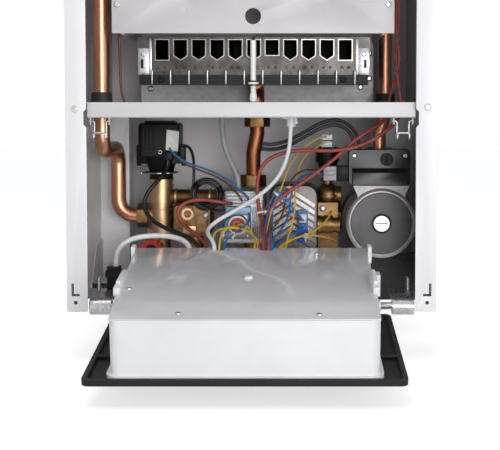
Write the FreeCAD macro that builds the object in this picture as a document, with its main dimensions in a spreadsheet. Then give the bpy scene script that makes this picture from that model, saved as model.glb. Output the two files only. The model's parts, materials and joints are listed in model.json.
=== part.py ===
import FreeCAD, Part
import math
import os
import re
from types import SimpleNamespace

# A wall-hung gas boiler with its front covers off and its control box swung down.
# X runs across the front, -Y faces the room, Z is up.  The wall is the plane Y = 0 and
# the lower edge of the side flanges is at Z = 0.  Lengths are in millimetres.
SIZES = {
    # Sheets and clearances shared by all pieces
    "sheet": 1.2,
    "fit_gap": 0.3,
    "overrun": 5.0,
    # Casing
    "case_width": 400.0,
    "case_height": 700.0,
    "case_depth": 300.0,
    "back_drop": 12.0,
    "flange_width": 22.5,
    "notch_depth": 3.0,
    "notch_height": 20.0,
    "notch_drop": 26.0,
    "notch_floor": "=shelf_height - notch_drop",
    "lock_slot_width": 2.7,
    "lock_slot_height": 14.0,
    "lock_slot_foot": 9.0,
    "lock_slot_floor": 17.0,
    "lock_slot_edge": 5.0,
    "flange_hole_radius": 2.0,
    "flange_hole_height": 10.0,
    "flange_hole_edge": 9.5,
    "hang_hole_radius": 5.0,
    "hang_hole_spacing": 280.0,
    "hang_hole_drop": 45.0,
    "hang_hole_height": "=case_height - hang_hole_drop",
    "upright_front": 95.0,
    "upright_width": 36.0,
    "upright_depth": 32.0,
    "upright_slot_width": 7.0,
    "upright_slot_height": 28.0,
    "upright_slot_floor": 135.0,
    "top_lip": 14.0,
    # Shelf under the sealed chamber
    "shelf_height": 226.0,
    "shelf_inset": 7.0,
    "shelf_front": "=case_depth - shelf_inset",
    "lip_height": 13.5,
    "hem_radius": 2.0,
    # Combustion chamber and its front panel
    "chamber_inset": 52.0,
    "chamber_half": "=case_width / 2 - chamber_inset",
    "chamber_front": 235.0,
    "chamber_back": 86.0,
    "chamber_gap": 1.5,
    "chamber_floor": "=burner_top + chamber_gap",
    "chamber_top": "=fan_height - fan_rise - hood_height - exchanger_height",
    "front_overlap": 12.0,
    "front_half": "=chamber_half + front_overlap",
    "front_gap": 1.5,
    "front_floor": "=chamber_floor + front_gap",
    "front_lip": 8.0,
    "front_lip_inset": 3.0,
    "front_lip_half": "=chamber_half - front_lip_inset",
    "boss_radius": 18.5,
    "boss_flat_radius": 8.5,
    "boss_depth": 4.5,
    "boss_offset": 78.0,
    "boss_height_share": 0.237,
    "boss_height": "=front_floor + (chamber_top - front_floor) * boss_height_share",
    "sight_radius": 9.0,
    "sight_rise": 19.5,
    "sight_height": "=front_floor + sight_rise",
    # Burner
    "burner_front": 215.0,
    "burner_inset": 21.0,
    "burner_half": "=chamber_half - burner_inset",
    "burner_rise": 33.0,
    "burner_floor": "=shelf_height + burner_rise",
    "burner_height": 43.5,
    "burner_top": "=burner_floor + burner_height",
    "burner_end": 10.0,
    "blade_count": "=floor((burner_half - burner_end) * 2 / blade_pitch)",
    "blade_pitch": 21.1,
    "mouth_width": 15.0,
    "mouth_margin": 3.0,
    "mouth_top": "=burner_top - mouth_margin",
    "mouth_side_rise": 23.0,
    "mouth_side_floor": "=burner_floor + mouth_side_rise",
    "mouth_point_rise": 17.5,
    "mouth_point_floor": "=burner_floor + mouth_point_rise",
    "blade_width": 17.0,
    "blade_wall": 0.9,
    "blade_length": 112.0,
    "blade_rise": 11.0,
    "blade_floor": "=burner_floor + blade_rise",
    "rail_height": 11.5,
    "rail_front": 224.0,
    "rail_depth": 12.0,
    "rail_overhang": 4.0,
    "rail_half": "=burner_half + rail_overhang",
    "tab_width": 2.0,
    "tab_height": 17.0,
    "bracket_overhang": 7.0,
    "bracket_width": 18.0,
    "bracket_outer": "=burner_half + bracket_overhang",
    "bracket_inner": "=bracket_outer - bracket_width",
    "bracket_hole_radius": 2.2,
    "electrode_radius": 3.3,
    "electrode_front": 230.2,
    "electrode_drop": 4.5,
    "electrode_top": "=burner_top - electrode_drop",
    "electrode_rise": 8.0,
    "electrode_bottom": "=shelf_height + electrode_rise",
    "electrode_collar_radius": 6.1,
    "electrode_collar_height": 2.5,
    "electrode_collar_rise": 22.0,
    "electrode_collar_floor": "=shelf_height + electrode_collar_rise",
    # Heat exchanger, hood, fan and flue
    "fin_count": "=floor(exchanger_half * 2 / fin_pitch)",
    "fin_pitch": 7.8,
    "fin_thickness": 1.0,
    "exchanger_inset": 18.0,
    "exchanger_half": "=chamber_half - exchanger_inset",
    "exchanger_height": 48.0,
    "exchanger_tube_radius": 8.5,
    "exchanger_tube_count": 5,
    "exchanger_tube_pitch": 26.0,
    "end_plate": 3.0,
    "hood_height": 62.0,
    "hood_top_half": 52.0,
    "hood_top_depth": 70.0,
    "flue_front": 157.0,
    "fan_radius": 52.0,
    "fan_width": 62.0,
    "fan_wall": 3.0,
    "fan_drop": 60.0,
    "fan_rise": 58.0,
    "fan_foot_share": 0.8,
    "fan_height": "=case_height - fan_drop",
    "fan_outlet_half": 30.0,
    "impeller_radius": 42.0,
    "impeller_width": 40.0,
    "impeller_blades": 18,
    "impeller_blade_depth": 9.0,
    "impeller_sheet": 1.2,
    "shaft_radius": 3.0,
    "running_gap": 0.06,
    "fan_motor_radius": 32.0,
    "fan_motor_length": 38.0,
    "flue_radius": 50.0,
    "flue_inner_radius": 30.0,
    "flue_wall": 1.5,
    "flue_rise": 45.0,
    "flue_flange": 66.0,
    "vessel_radius": 158.0,
    "vessel_depth": 66.0,
    "vessel_rim": 5.0,
    "vessel_height": "=(shelf_height + case_height) / 2",
    "switch_radius": 26.0,
    "switch_depth": 24.0,
    "switch_drop": 110.0,
    "switch_height": "=case_height - switch_drop",
    "switch_back": 150.0,
    "switch_inset": 50.0,
    "switch_side": "=case_width / 2 - switch_inset",
    # Copper pipes
    "pipe_radius": 9.0,
    "pipe_bend": 20.0,
    "lead_bend_share": 0.45,
    "thin_pipe_radius": 8.0,
    "flow_inset": 25.0,
    "flow_x": "=case_width / 2 - flow_inset",
    "flow_front": 219.0,
    "flow_jog_height": 172.0,
    "flow_jog": 5.0,
    "flow_low_x": "=flow_x - flow_jog",
    "return_inset": 41.0,
    "return_x": "=case_width / 2 - return_inset",
    "return_jog": 7.0,
    "return_low_x": "=return_x - return_jog",
    "return_jog_top": 214.0,
    "return_jog_floor": 190.0,
    "gas_x": 1.0,
    "gas_low_x": 4.0,
    "gas_front": 119.0,
    "gas_jog_top": 190.0,
    "gas_jog_floor": 165.0,
    "nut_across": 27.0,
    "nut_length": 13.0,
    "gas_nut_across": 28.0,
    "gas_nut_length": 14.0,
    "grommet_radius": 12.5,
    "grommet_height": 12.0,
    # Diverter valve on the left
    "water_front": 135.0,
    "inlet_reach": 53.0,
    "diverter_x": "=flow_low_x - inlet_reach",
    "diverter_radius": 14.0,
    "diverter_floor": 62.0,
    "diverter_top": 134.0,
    "diverter_ring": 2.2,
    "diverter_inlet_height": 89.0,
    "diverter_inlet_radius": 10.0,
    "diverter_foot_radius": 17.5,
    "diverter_foot_height": 11.0,
    "motor_collar_radius": 14.5,
    "motor_collar_height": 7.0,
    "motor_clip_radius": 21.0,
    "motor_clip_height": 2.0,
    "motor_neck_radius": 17.0,
    "motor_neck_height": 20.0,
    "motor_width": 50.0,
    "motor_depth": 46.0,
    "motor_height": 40.0,
    "motor_round": 5.0,
    "motor_ear": 4.0,
    "motor_bevel": 2.5,
    # Manifold and relief valve
    "manifold_tube_height": 112.0,
    "manifold_tube_radius": 9.0,
    "manifold_tube_end": 42.0,
    "manifold_offset": 17.0,
    "manifold_left": "=diverter_x - manifold_offset",
    "manifold_right": 53.0,
    "manifold_floor": 66.0,
    "manifold_top": 105.0,
    "manifold_front": 165.0,
    "manifold_back": 115.0,
    "manifold_round": 6.0,
    "plug_inset": 18.5,
    "plug_x": "=manifold_left - plug_inset",
    "plug_height": 94.0,
    "plug_radius": 8.5,
    "plug_length": 7.0,
    "plug_socket": 3.6,
    "screw_boss_x": 60.0,
    "screw_boss_height": 92.0,
    "screw_boss_radius": 5.0,
    "casting_edge": 2.0,
    "relief_offset": 7.0,
    "relief_x": "=diverter_x + relief_offset",
    "relief_height": 52.0,
    "relief_radius": 9.0,
    "relief_front": 168.0,
    "relief_cap_radius": 14.0,
    "relief_cap_depth": 20.0,
    "relief_cap_lobes": 8,
    "relief_lobe_radius": 3.0,
    "relief_stem_radius": 4.0,
    # Gas valve
    "valve_left": 38.0,
    "valve_right": 12.0,
    "valve_floor": 60.0,
    "valve_top": 124.0,
    "valve_front": 182.0,
    "valve_back": 98.0,
    "valve_round": 5.0,
    "coil_x": 20.0,
    "coil_height": 83.0,
    "coil_radius": 11.5,
    "coil_length": 18.0,
    "coil_step": 2.6,
    "coil_rings": 4,
    "valve_edge": 2.0,
    "valve_plate_height": 36.0,
    "valve_plate_depth": 4.0,
    # Plate heat exchanger
    "plates_left": 17.0,
    "plates_right": "=globe_x - return_block_width / 2",
    "plates_floor": 34.0,
    "plates_top": 129.0,
    "plates_front": 164.0,
    "plates_back": 112.0,
    "plates_round": 15.0,
    "chevron_count": 8,
    "chevron_width": 4.5,
    "chevron_depth": 2.0,
    "chevron_fall": 16.0,
    # Return side on the right
    "sensor_x": 57.0,
    "sensor_width": 12.0,
    "sensor_depth": 20.0,
    "sensor_floor": 62.0,
    "sensor_height": 37.0,
    "globe_offset": 61.0,
    "globe_x": "=pump_x - globe_offset",
    "globe_height": 114.0,
    "globe_radius": 15.0,
    "globe_stem_radius": 6.0,
    "return_block_width": 24.0,
    "return_block_depth": 40.0,
    "return_block_floor": 38.0,
    "return_block_top": 106.0,
    "return_boss_radius": 9.0,
    "return_boss_height": 79.0,
    "vent_radius": 13.0,
    "vent_floor": 140.0,
    "vent_height": 32.0,
    "vent_teeth": 10,
    "vent_tooth_depth": 3.0,
    "vent_bowl_share": 0.7,
    "vent_tooth_share": 0.75,
    "vent_plug_width": 12.0,
    "vent_plug_height": 16.0,
    # Pump
    "pump_port_offset": 3.0,
    "pump_x": "=return_low_x - pump_port_offset",
    "pump_height": 86.0,
    "pump_radius": 41.0,
    "pump_front": 205.0,
    "pump_motor_depth": 44.0,
    "pump_face_radius": 36.5,
    "pump_face_recess": 2.0,
    "volute_radius": 44.0,
    "volute_depth": 46.0,
    "pump_port_radius": 11.0,
    "pump_port_top": 166.0,
    "pump_neck_half": 28.0,
    "pump_shoulder_half": 33.0,
    "pump_shoulder_share": 0.75,
    "pump_bevel": 3.0,
    "terminal_left_reach": 37.5,
    "terminal_left": "=pump_x - terminal_left_reach",
    "terminal_right_reach": 35.0,
    "terminal_right": "=pump_x + terminal_right_reach",
    "terminal_floor": 130.0,
    "terminal_top": 172.0,
    "terminal_front": 196.0,
    "terminal_back": 156.0,
    "terminal_round": 4.0,
    "terminal_step": 5.0,
    "pump_plug_length": 30.0,
    "pump_plug_height": 17.0,
    "pump_plug_depth": 18.0,
    "vent_screw_radius": 9.0,
    "vent_screw_depth": 5.0,
    "vent_screw_stem": 5.0,
    "vent_screw_slot": 2.4,
    "vent_slot_share": 0.5,
    # Pipe tails and the plate that holds them
    "tail_radius": 11.0,
    "tail_wall": 2.0,
    "tail_drop": 28.0,
    "tail_nut_across": 30.0,
    "tail_nut_height": 14.0,
    "hot_tail_x": 76.0,
    "cold_tail_x": 46.0,
    "bracket_height": 8.0,
    "bracket_front": 165.0,
    "bracket_side_height": 46.0,
    "bracket_side_front": 158.0,
    # Control box, its hinge and its latches
    "hinge_inset": 14.0,
    "hinge_front": "=case_depth - hinge_inset",
    "hinge_height": 4.0,
    "open_angle": 98.0,
    "roll_radius": 9.5,
    "roll_wall": 1.5,
    "hinge_bracket_reach": 46.5,
    "hinge_bracket_inner": "=case_width / 2 - hinge_bracket_reach",
    "hinge_plate_depth": 60.0,
    "hinge_plate_back": "=hinge_front - hinge_plate_depth",
    "hinge_pin_radius": 4.0,
    "stud_radius": 1.6,
    "stud_height": 16.0,
    "ear_radius": 6.4,
    "ear_length": 15.0,
    "box_side_gap": 27.5,
    "box_half": "=hinge_bracket_inner - box_side_gap",
    "box_back": 9.0,
    "box_reach": 182.0,
    "box_wall": 2.0,
    "box_corner": 9.0,
    "box_skirt": 4.0,
    "box_skirt_height": 4.0,
    "box_base": 10.5,
    "lid_back_rise": 62.0,
    "lid_bend_reach": 138.0,
    "lid_bend_rise": 56.0,
    "lid_front_rise": 47.0,
    "lid_thickness": 1.5,
    "lid_notch_width": 14.0,
    "lid_notch_depth": 9.0,
    "lid_notch_drop": 12.0,
    "lid_notch_left": 36.5,
    "lid_notch_right": 16.5,
    "hinge_block_width": 16.0,
    "hinge_block_length": 14.0,
    "hinge_block_start": 13.0,
    "hinge_block_height": 24.0,
    "cheek_height": 13.0,
    "cheek_length": 16.0,
    "cheek_width": 4.0,
    "fascia_side_gap": 2.0,
    "fascia_half": "=hinge_bracket_inner - fascia_side_gap",
    "fascia_start": 6.0,
    "fascia_end": 192.0,
    "fascia_face": 13.0,
    "fascia_sheet": 2.5,
    "fascia_rim": 5.0,
    "fascia_rim_height": 6.0,
    "fascia_corner": 7.0,
    "board_inset": 16.0,
    "board_half": "=box_half - board_inset",
    "board_start": 14.0,
    "board_end": 166.0,
    "board_thickness": 1.6,
    "board_post": 4.5,
    "board_post_radius": 3.0,
    "transformer_width": 46.0,
    "transformer_depth": 40.0,
    "transformer_height": 30.0,
    "relay_width": 16.0,
    "relay_count": 4,
    "relay_height": 16.0,
    "relay_length_share": 1.5,
    "relay_pitch_share": 1.25,
    "knob_radius": 17.0,
    "knob_depth": 13.0,
    "knob_inset": 31.0,
    "knob_x": "=box_half - knob_inset",
    "knob_reach": 100.0,
    "knob_grip": 5.0,
    "knob_base_share": 0.4,
    "knob_grip_share": 0.9,
    "knob_stem_radius": 3.0,
    "button_radius": 5.5,
    "button_x": 45.0,
    "button_rise": 2.5,
    "button_length": 7.0,
    "latch_inset": 35.0,
    "latch_x": "=case_width / 2 - latch_inset",
    "latch_width": 18.0,
    "latch_length": 20.0,
    "latch_wire_radius": 1.1,
    "latch_bend": 2.4,
    "clamp_sheet": 1.5,
    "latch_setback": 16.0,
    "latch_front": "=case_depth - latch_setback",
    "latch_drop": 19.0,
    "latch_height": "=shelf_height - latch_drop",
    "latch_lug": 4.0,
    "latch_hook": 7.0,
    "clamp_offset": 6.5,
    "clamp_x": "=hinge_bracket_inner + clamp_offset",
    "clamp_width": 15.0,
    "clamp_depth": 12.0,
    "clamp_top": 40.0,
    "clamp_reach": 12.0,
    "clamp_front": "=hinge_plate_back + clamp_reach",
}

doc = FreeCAD.newDocument("gas_boiler")
sheet = doc.addObject("Spreadsheet::Sheet", "Sizes")
for row, name in enumerate(SIZES, 1):
    sheet.set(f"A{row}", name)
    sheet.setAlias(f"B{row}", name)
for row, value in enumerate(SIZES.values(), 1):
    sheet.set(f"B{row}", str(value))
doc.recompute()
S = SimpleNamespace(**{name: float(sheet.get(name)) for name in SIZES})

Vector = FreeCAD.Vector
TURNS = {
    "X": FreeCAD.Rotation(Vector(0, 1, 0), 90),
    "Y": FreeCAD.Rotation(Vector(1, 0, 0), -90),
    "Z": FreeCAD.Rotation(),
}
WORD = re.compile(r"[a-z][a-z_]*")
NODES = []


# Building blocks: every size and place is an expression on the sheet of sizes
def bind(thing, prop, text):
    named = WORD.sub(lambda m: "Sizes." + m.group(0) if m.group(0) in SIZES else m.group(0), text)
    thing.setExpression(prop, named)


def place(thing, axis, x, y, z):
    thing.Placement = FreeCAD.Placement(Vector(), TURNS[axis])
    bind(thing, "Placement.Base.x", x)
    bind(thing, "Placement.Base.y", y)
    bind(thing, "Placement.Base.z", z)
    return thing


def box(x, y, z, dx, dy, dz):
    thing = doc.addObject("Part::Box", "block")
    bind(thing, "Length", dx)
    bind(thing, "Width", dy)
    bind(thing, "Height", dz)
    return place(thing, "Z", x, y, z)


def rod(axis, x, y, z, radius, length):
    thing = doc.addObject("Part::Cylinder", "rod")
    bind(thing, "Radius", radius)
    bind(thing, "Height", length)
    return place(thing, axis, x, y, z)


def taper(axis, x, y, z, start_radius, end_radius, length):
    thing = doc.addObject("Part::Cone", "taper")
    bind(thing, "Radius1", start_radius)
    bind(thing, "Radius2", end_radius)
    bind(thing, "Height", length)
    return place(thing, axis, x, y, z)


def hexagon(axis, x, y, z, across, length):
    thing = doc.addObject("Part::Prism", "hexagon")
    thing.Polygon = 6
    bind(thing, "Circumradius", f"({across}) / sqrt(3)")
    bind(thing, "Height", length)
    return place(thing, axis, x, y, z)


def ball(x, y, z, radius):
    thing = doc.addObject("Part::Sphere", "ball")
    bind(thing, "Radius", radius)
    return place(thing, "Z", x, y, z)


def joined(*things):
    thing = doc.addObject("Part::MultiFuse", "joined")
    thing.Shapes = list(things)
    return thing


def cut(base, *tools):
    thing = doc.addObject("Part::Cut", "cut")
    thing.Base = base
    thing.Tool = tools[0] if len(tools) == 1 else joined(*tools)
    return thing


def together(*things):
    thing = doc.addObject("Part::Compound", "set")
    thing.Links = list(things)
    return thing


def mirrored(source):
    thing = doc.addObject("Part::Mirroring", "mirrored")
    thing.Source = source
    thing.Normal = Vector(1, 0, 0)
    thing.Base = Vector()
    return thing


def formed(shape):
    thing = doc.addObject("Part::Feature", "formed")
    thing.Shape = shape
    return thing


def node(label, thing):
    thing.Label = label
    NODES.append(thing)
    return thing


# Shapes that need arcs, lofts or sweeps
def prism(points, way):
    return Part.Face(Part.makePolygon(points + points[:1])).extrude(way)


def rounded_prism(low, high, radius, place_point, way):
    (a0, b0), (a1, b1) = low, high
    inner = radius * (1 - math.sqrt(0.5))
    corners = [
        ((a1 - radius, b0), (a1 - inner, b0 + inner), (a1, b0 + radius)),
        ((a1, b1 - radius), (a1 - inner, b1 - inner), (a1 - radius, b1)),
        ((a0 + radius, b1), (a0 + inner, b1 - inner), (a0, b1 - radius)),
        ((a0, b0 + radius), (a0 + inner, b0 + inner), (a0 + radius, b0)),
    ]
    edges = []
    last = place_point(*corners[-1][2])
    for start, middle, end in corners:
        first = place_point(*start)
        edges.append(Part.LineSegment(last, first).toShape())
        edges.append(Part.Arc(first, place_point(*middle), place_point(*end)).toShape())
        last = place_point(*end)
    return Part.Face(Part.Wire(edges)).extrude(way)


def edged(shape, size, way):
    # Bevels the rim of the face that lies furthest along a direction
    far = max(vertex.Point.dot(way) for vertex in shape.Vertexes) - S.running_gap
    rim = [edge for edge in shape.Edges if all(vertex.Point.dot(way) > far for vertex in edge.Vertexes)]
    return shape.makeChamfer(size, rim)


def route_wire(points, bend=None):
    # Straight runs joined by tangent arcs; each arc is as large as its runs allow
    edges = []
    radii = []
    last = points[0]
    for before, here, after in zip(points, points[1:], points[2:]):
        came = here - before
        goes = after - here
        shorter = min(came.Length, goes.Length)
        came.normalize()
        goes.normalize()
        half_turn = came.getAngle(goes) / 2
        radius = bend or S.lead_bend_share * shorter / math.tan(half_turn)
        setback = radius * math.tan(half_turn)
        inward = goes - came
        inward.normalize()
        start = here - came * setback
        middle = here + inward * (radius / math.cos(half_turn) - radius)
        end = here + goes * setback
        edges.append(Part.LineSegment(last, start).toShape())
        edges.append(Part.Arc(start, middle, end).toShape())
        radii.append(radius)
        last = end
    edges.append(Part.LineSegment(last, points[-1]).toShape())
    return Part.Wire(edges), radii


def tube(points, radius, bend=None):
    path, radii = route_wire(points, bend)
    ring = Part.Wire(Part.makeCircle(radius, points[0], points[1] - points[0]))
    return path.makePipeShell([ring], True, False), path.Length, radii


# Casing
def side_panel():
    wall = box("-case_width / 2", "-case_depth", "0", "sheet", "case_depth", "case_height")
    flange = box("-case_width / 2", "-case_depth", "0", "flange_width", "sheet", "case_height")
    upright_x = "-case_width / 2 + sheet"
    upright_z = "bracket_height + sheet"
    upright_rise = "shelf_height - bracket_height - sheet"
    upright = box(upright_x, "-upright_front", upright_z, "upright_width", "sheet", upright_rise)
    turned_x = "-case_width / 2 + upright_width"
    turned = box(turned_x, "-upright_front", upright_z, "sheet", "upright_depth", upright_rise)
    slot = box(f"{turned_x} - upright_slot_width * 2", "-upright_front - overrun", "upright_slot_floor",
               "upright_slot_width", "overrun * 2", "upright_slot_height")
    edge = S.flange_width - S.case_width / 2
    notch_low = S.notch_floor
    notch_high = S.notch_floor + S.notch_height
    front = -S.case_depth - S.overrun
    notch = formed(prism([Vector(edge + S.overrun, front, notch_low - S.overrun),
                          Vector(edge - S.notch_depth, front, notch_low + S.notch_depth),
                          Vector(edge - S.notch_depth, front, notch_high - S.notch_depth),
                          Vector(edge + S.overrun, front, notch_high + S.overrun)],
                         Vector(0, S.overrun * 2, 0)))
    lock_x = "-case_width / 2 + lock_slot_edge"
    lock_y = "-case_depth - overrun"
    lock = box(lock_x, lock_y, "lock_slot_floor", "lock_slot_width", "overrun * 2", "lock_slot_height")
    foot = box(lock_x, lock_y, "lock_slot_floor", "lock_slot_foot", "overrun * 2", "lock_slot_width")
    hole = rod("Y", "-case_width / 2 + flange_hole_edge", lock_y, "flange_hole_height",
               "flange_hole_radius", "overrun * 2")
    return cut(joined(wall, flange, upright, turned), slot, notch, lock, foot, hole)


left_panel = node("left_side_panel", side_panel())
node("right_side_panel", mirrored(left_panel))

back_sheet = box("-case_width / 2 + sheet", "-sheet", "-back_drop",
                 "case_width - sheet * 2", "sheet", "case_height + back_drop")
hang_holes = [rod("Y", f"{side}hang_hole_spacing / 2", "-overrun", "hang_hole_height",
                  "hang_hole_radius", "overrun * 2") for side in ("", "-")]
node("back_panel", cut(back_sheet, *hang_holes))

top_sheet = box("-case_width / 2 + sheet", "-case_depth + sheet", "case_height - sheet",
                "case_width - sheet * 2", "case_depth - sheet * 2", "sheet")
top_lip = box("-case_width / 2 + flange_width", "-case_depth + sheet", "case_height - top_lip",
              "case_width - flange_width * 2", "sheet", "top_lip")
flue_hole = rod("Z", "0", "-flue_front", "case_height - overrun", "flue_radius + fit_gap", "overrun * 2")
node("top_panel", cut(joined(top_sheet, top_lip), flue_hole))


# Shelf: floor of the sealed chamber, with a hemmed lip, pipe holes and latch lugs
def shelf():
    half = "case_width / 2 - sheet - fit_gap"
    plate = box(f"-({half})", "-shelf_front", "shelf_height", f"({half}) * 2", "shelf_front - sheet",
                "sheet")
    lip_half = "case_width / 2 - flange_width"
    lip = box(f"-({lip_half})", "-shelf_front", "shelf_height - lip_height",
              f"({lip_half}) * 2", "sheet", "lip_height")
    hem = rod("X", f"-({lip_half})", "-shelf_front + hem_radius", "shelf_height - lip_height",
              "hem_radius", f"({lip_half}) * 2")
    lugs = []
    bores = []
    for side in (-1, 1):
        for edge in (-1, 1):
            lug_x = f"{side} * latch_x + {edge} * (latch_width / 2 + fit_gap * 2 + sheet / 2) - sheet / 2"
            lugs.append(box(lug_x, "-latch_front - latch_lug", "latch_height - latch_lug",
                            "sheet", "latch_lug * 2", "shelf_height - latch_height + latch_lug"))
        bores.append(rod("X", f"{side} * latch_x - latch_width", "-latch_front", "latch_height",
                         "latch_wire_radius + running_gap", "latch_width * 2"))
    holes = [rod("Z", x, y, "shelf_height - overrun", radius, "overrun * 2") for x, y, radius in (
        ("-flow_x", "-flow_front", "pipe_radius + fit_gap"),
        ("return_x", "-water_front", "thin_pipe_radius + fit_gap"),
        ("gas_x", "-gas_front", "pipe_radius + fit_gap"))]
    return cut(joined(plate, lip, hem, *lugs), *holes, *bores)


node("chamber_shelf", shelf())

# Combustion chamber: back sheet down to the shelf, and two sides
chamber_span = "chamber_front - chamber_back"
chamber_back = box("-chamber_half", "-chamber_back", "shelf_height + sheet",
                   "chamber_half * 2", "sheet", "chamber_top - shelf_height - sheet")
chamber_sides = [box(x, "-chamber_front", "chamber_floor", "sheet", chamber_span,
                     "chamber_top - chamber_floor")
                 for x in ("-chamber_half", "chamber_half - sheet")]
node("combustion_chamber", joined(chamber_back, *chamber_sides))


# Chamber front panel with two pressed dimples, a sight hole and a folded lower lip
def front_panel():
    rise = "chamber_top - front_floor"
    plate = box("-front_half", "-chamber_front - sheet", "front_floor", "front_half * 2", "sheet", rise)
    fold = box("-front_lip_half", "-chamber_front - sheet", "front_floor", "front_lip_half * 2",
               "front_lip", "sheet")
    dimples = []
    hollows = []
    for side in ("", "-"):
        x = f"{side}boss_offset"
        dimples.append(taper("Y", x, "-chamber_front - sheet", "boss_height", "boss_radius",
                             "boss_flat_radius + sheet", "boss_depth"))
        hollows.append(taper("Y", x, "-chamber_front - sheet * 2", "boss_height", "boss_radius",
                             "boss_flat_radius", "boss_depth"))
    sight = rod("Y", "0", "-chamber_front - overrun", "sight_height", "sight_radius", "overrun * 2")
    return cut(joined(plate, fold, *dimples), *hollows, sight)


node("chamber_front_panel", front_panel())


# Burner: mouth plate with end brackets, blades, gas rail with tabs, electrode
def mouth(index, x):
    # The end mouths are plain, one beside the middle is short, the rest end in a point
    half = S.mouth_width / 2
    last = int(S.blade_count) - 1
    plain = index in (0, last)
    point = S.mouth_side_floor if index == last // 2 + 1 else S.mouth_point_floor
    side = point if plain else S.mouth_side_floor
    front = -S.burner_front - S.overrun
    outline = [(x - half, S.mouth_top), (x - half, side), (x, point), (x + half, side),
               (x + half, S.mouth_top)]
    if side == point:
        del outline[2]
    return prism([Vector(a, front, b) for a, b in outline], Vector(0, S.overrun * 2, 0))


def blade_places():
    middle = (int(S.blade_count) - 1) / 2
    return [(index - middle) * S.blade_pitch for index in range(int(S.blade_count))]


def burner_plate():
    plate = box("-burner_half", "-burner_front", "burner_floor", "burner_half * 2", "sheet",
                "burner_top - burner_floor")
    mouths = [formed(mouth(index, x)) for index, x in enumerate(blade_places())]
    return cut(plate, *mouths)


def burner_bracket():
    ear = box("-bracket_outer", "-burner_front - sheet", "burner_floor", "bracket_outer - bracket_inner",
              "sheet", "burner_top - burner_floor")
    leg = box("-bracket_outer", "-burner_front - sheet", "burner_floor", "sheet",
              "burner_front - chamber_back + sheet", "burner_top - burner_floor")
    middle_x = "-bracket_outer + (bracket_outer - bracket_inner) / 3"
    hole = rod("Y", middle_x, "-burner_front - overrun",
               "(burner_top + burner_floor) / 2 + bracket_hole_radius",
               "bracket_hole_radius", "overrun * 2")
    slot = box(middle_x, "-burner_front - overrun", "burner_floor + overrun", "bracket_hole_radius * 2",
               "overrun * 2", "bracket_hole_radius")
    return cut(joined(ear, leg), hole, slot)


left_bracket = burner_bracket()
node("burner_plate", together(burner_plate(), left_bracket, mirrored(left_bracket)))


def blade(x):
    half = S.blade_width / 2
    start = -S.burner_front + S.sheet
    outer = Part.makeBox(S.blade_width, S.blade_length, S.burner_top - S.blade_floor,
                         Vector(x - half, start, S.blade_floor))
    inner = Part.makeBox(S.blade_width - S.blade_wall * 2, S.blade_length - S.blade_wall,
                         S.burner_top - S.blade_floor - S.blade_wall * 2,
                         Vector(x - half + S.blade_wall, start, S.blade_floor + S.blade_wall))
    return outer.cut(inner)


node("burner_blades", together(*[formed(blade(x)) for x in blade_places()]))


def burner_rail():
    rail = box("-rail_half", "-rail_front", "burner_floor - rail_height", "rail_half * 2", "rail_depth",
               "rail_height")
    tabs = []
    for index in range(int(S.blade_count) + 1):
        x = f"({index} - blade_count / 2) * blade_pitch - tab_width / 2"
        tabs.append(box(x, "-rail_front - sheet", "burner_floor - rail_height", "tab_width", "sheet",
                        "tab_height"))
    return joined(rail, *tabs)


node("burner_rail", burner_rail())

electrode_y = "-electrode_front"
ceramic = rod("Z", "0", electrode_y, "electrode_bottom", "electrode_radius",
              "electrode_top - electrode_bottom")
collar = rod("Z", "0", electrode_y, "electrode_collar_floor", "electrode_collar_radius",
             "electrode_collar_height")
node("electrode", joined(ceramic, collar))


# Heat exchanger: finned block on five tubes, between two end plates
def heat_exchanger():
    depth = S.chamber_front - S.chamber_back
    middle_y = -(S.chamber_front + S.chamber_back) / 2
    middle_z = S.chamber_top + S.exchanger_height / 2
    fins = []
    for index in range(int(S.fin_count)):
        x = (index - (int(S.fin_count) - 1) / 2) * S.fin_pitch - S.fin_thickness / 2
        fins.append(Part.makeBox(S.fin_thickness, depth, S.exchanger_height,
                                 Vector(x, -S.chamber_front, S.chamber_top)))
    tubes = []
    for index in range(int(S.exchanger_tube_count)):
        y = middle_y + (index - (int(S.exchanger_tube_count) - 1) / 2) * S.exchanger_tube_pitch
        tubes.append(Part.makeCylinder(S.exchanger_tube_radius, S.exchanger_half * 2,
                                       Vector(-S.exchanger_half, y, middle_z), Vector(1, 0, 0)))
    plates = [Part.makeBox(S.end_plate, depth, S.exchanger_height,
                           Vector(x, -S.chamber_front, S.chamber_top))
              for x in (-S.exchanger_half, S.exchanger_half - S.end_plate)]
    return tubes[0].multiFuse(tubes[1:] + plates + fins)


node("heat_exchanger", formed(heat_exchanger()))


# Flue hood: a sheet funnel over the exchanger
def flue_hood():
    floor = S.chamber_top + S.exchanger_height
    top = floor + S.hood_height
    top_front = -S.flue_front - S.hood_top_depth / 2
    wide = [Vector(-S.exchanger_half, -S.chamber_front, floor),
            Vector(S.exchanger_half, -S.chamber_front, floor),
            Vector(S.exchanger_half, -S.chamber_back, floor),
            Vector(-S.exchanger_half, -S.chamber_back, floor)]
    narrow = [Vector(-S.hood_top_half, top_front, top), Vector(S.hood_top_half, top_front, top),
              Vector(S.hood_top_half, top_front + S.hood_top_depth, top),
              Vector(-S.hood_top_half, top_front + S.hood_top_depth, top)]
    wires = [Part.makePolygon(points + points[:1]) for points in (wide, narrow)]
    return Part.makeLoft(wires, True, True)


node("flue_hood", formed(flue_hood()))


# Fan: a scroll housing on the hood with its motor in front, and an outlet into the flue
fan_back = "-flue_front + fan_width / 2"
fan_front = "-flue_front - fan_width / 2"


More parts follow.
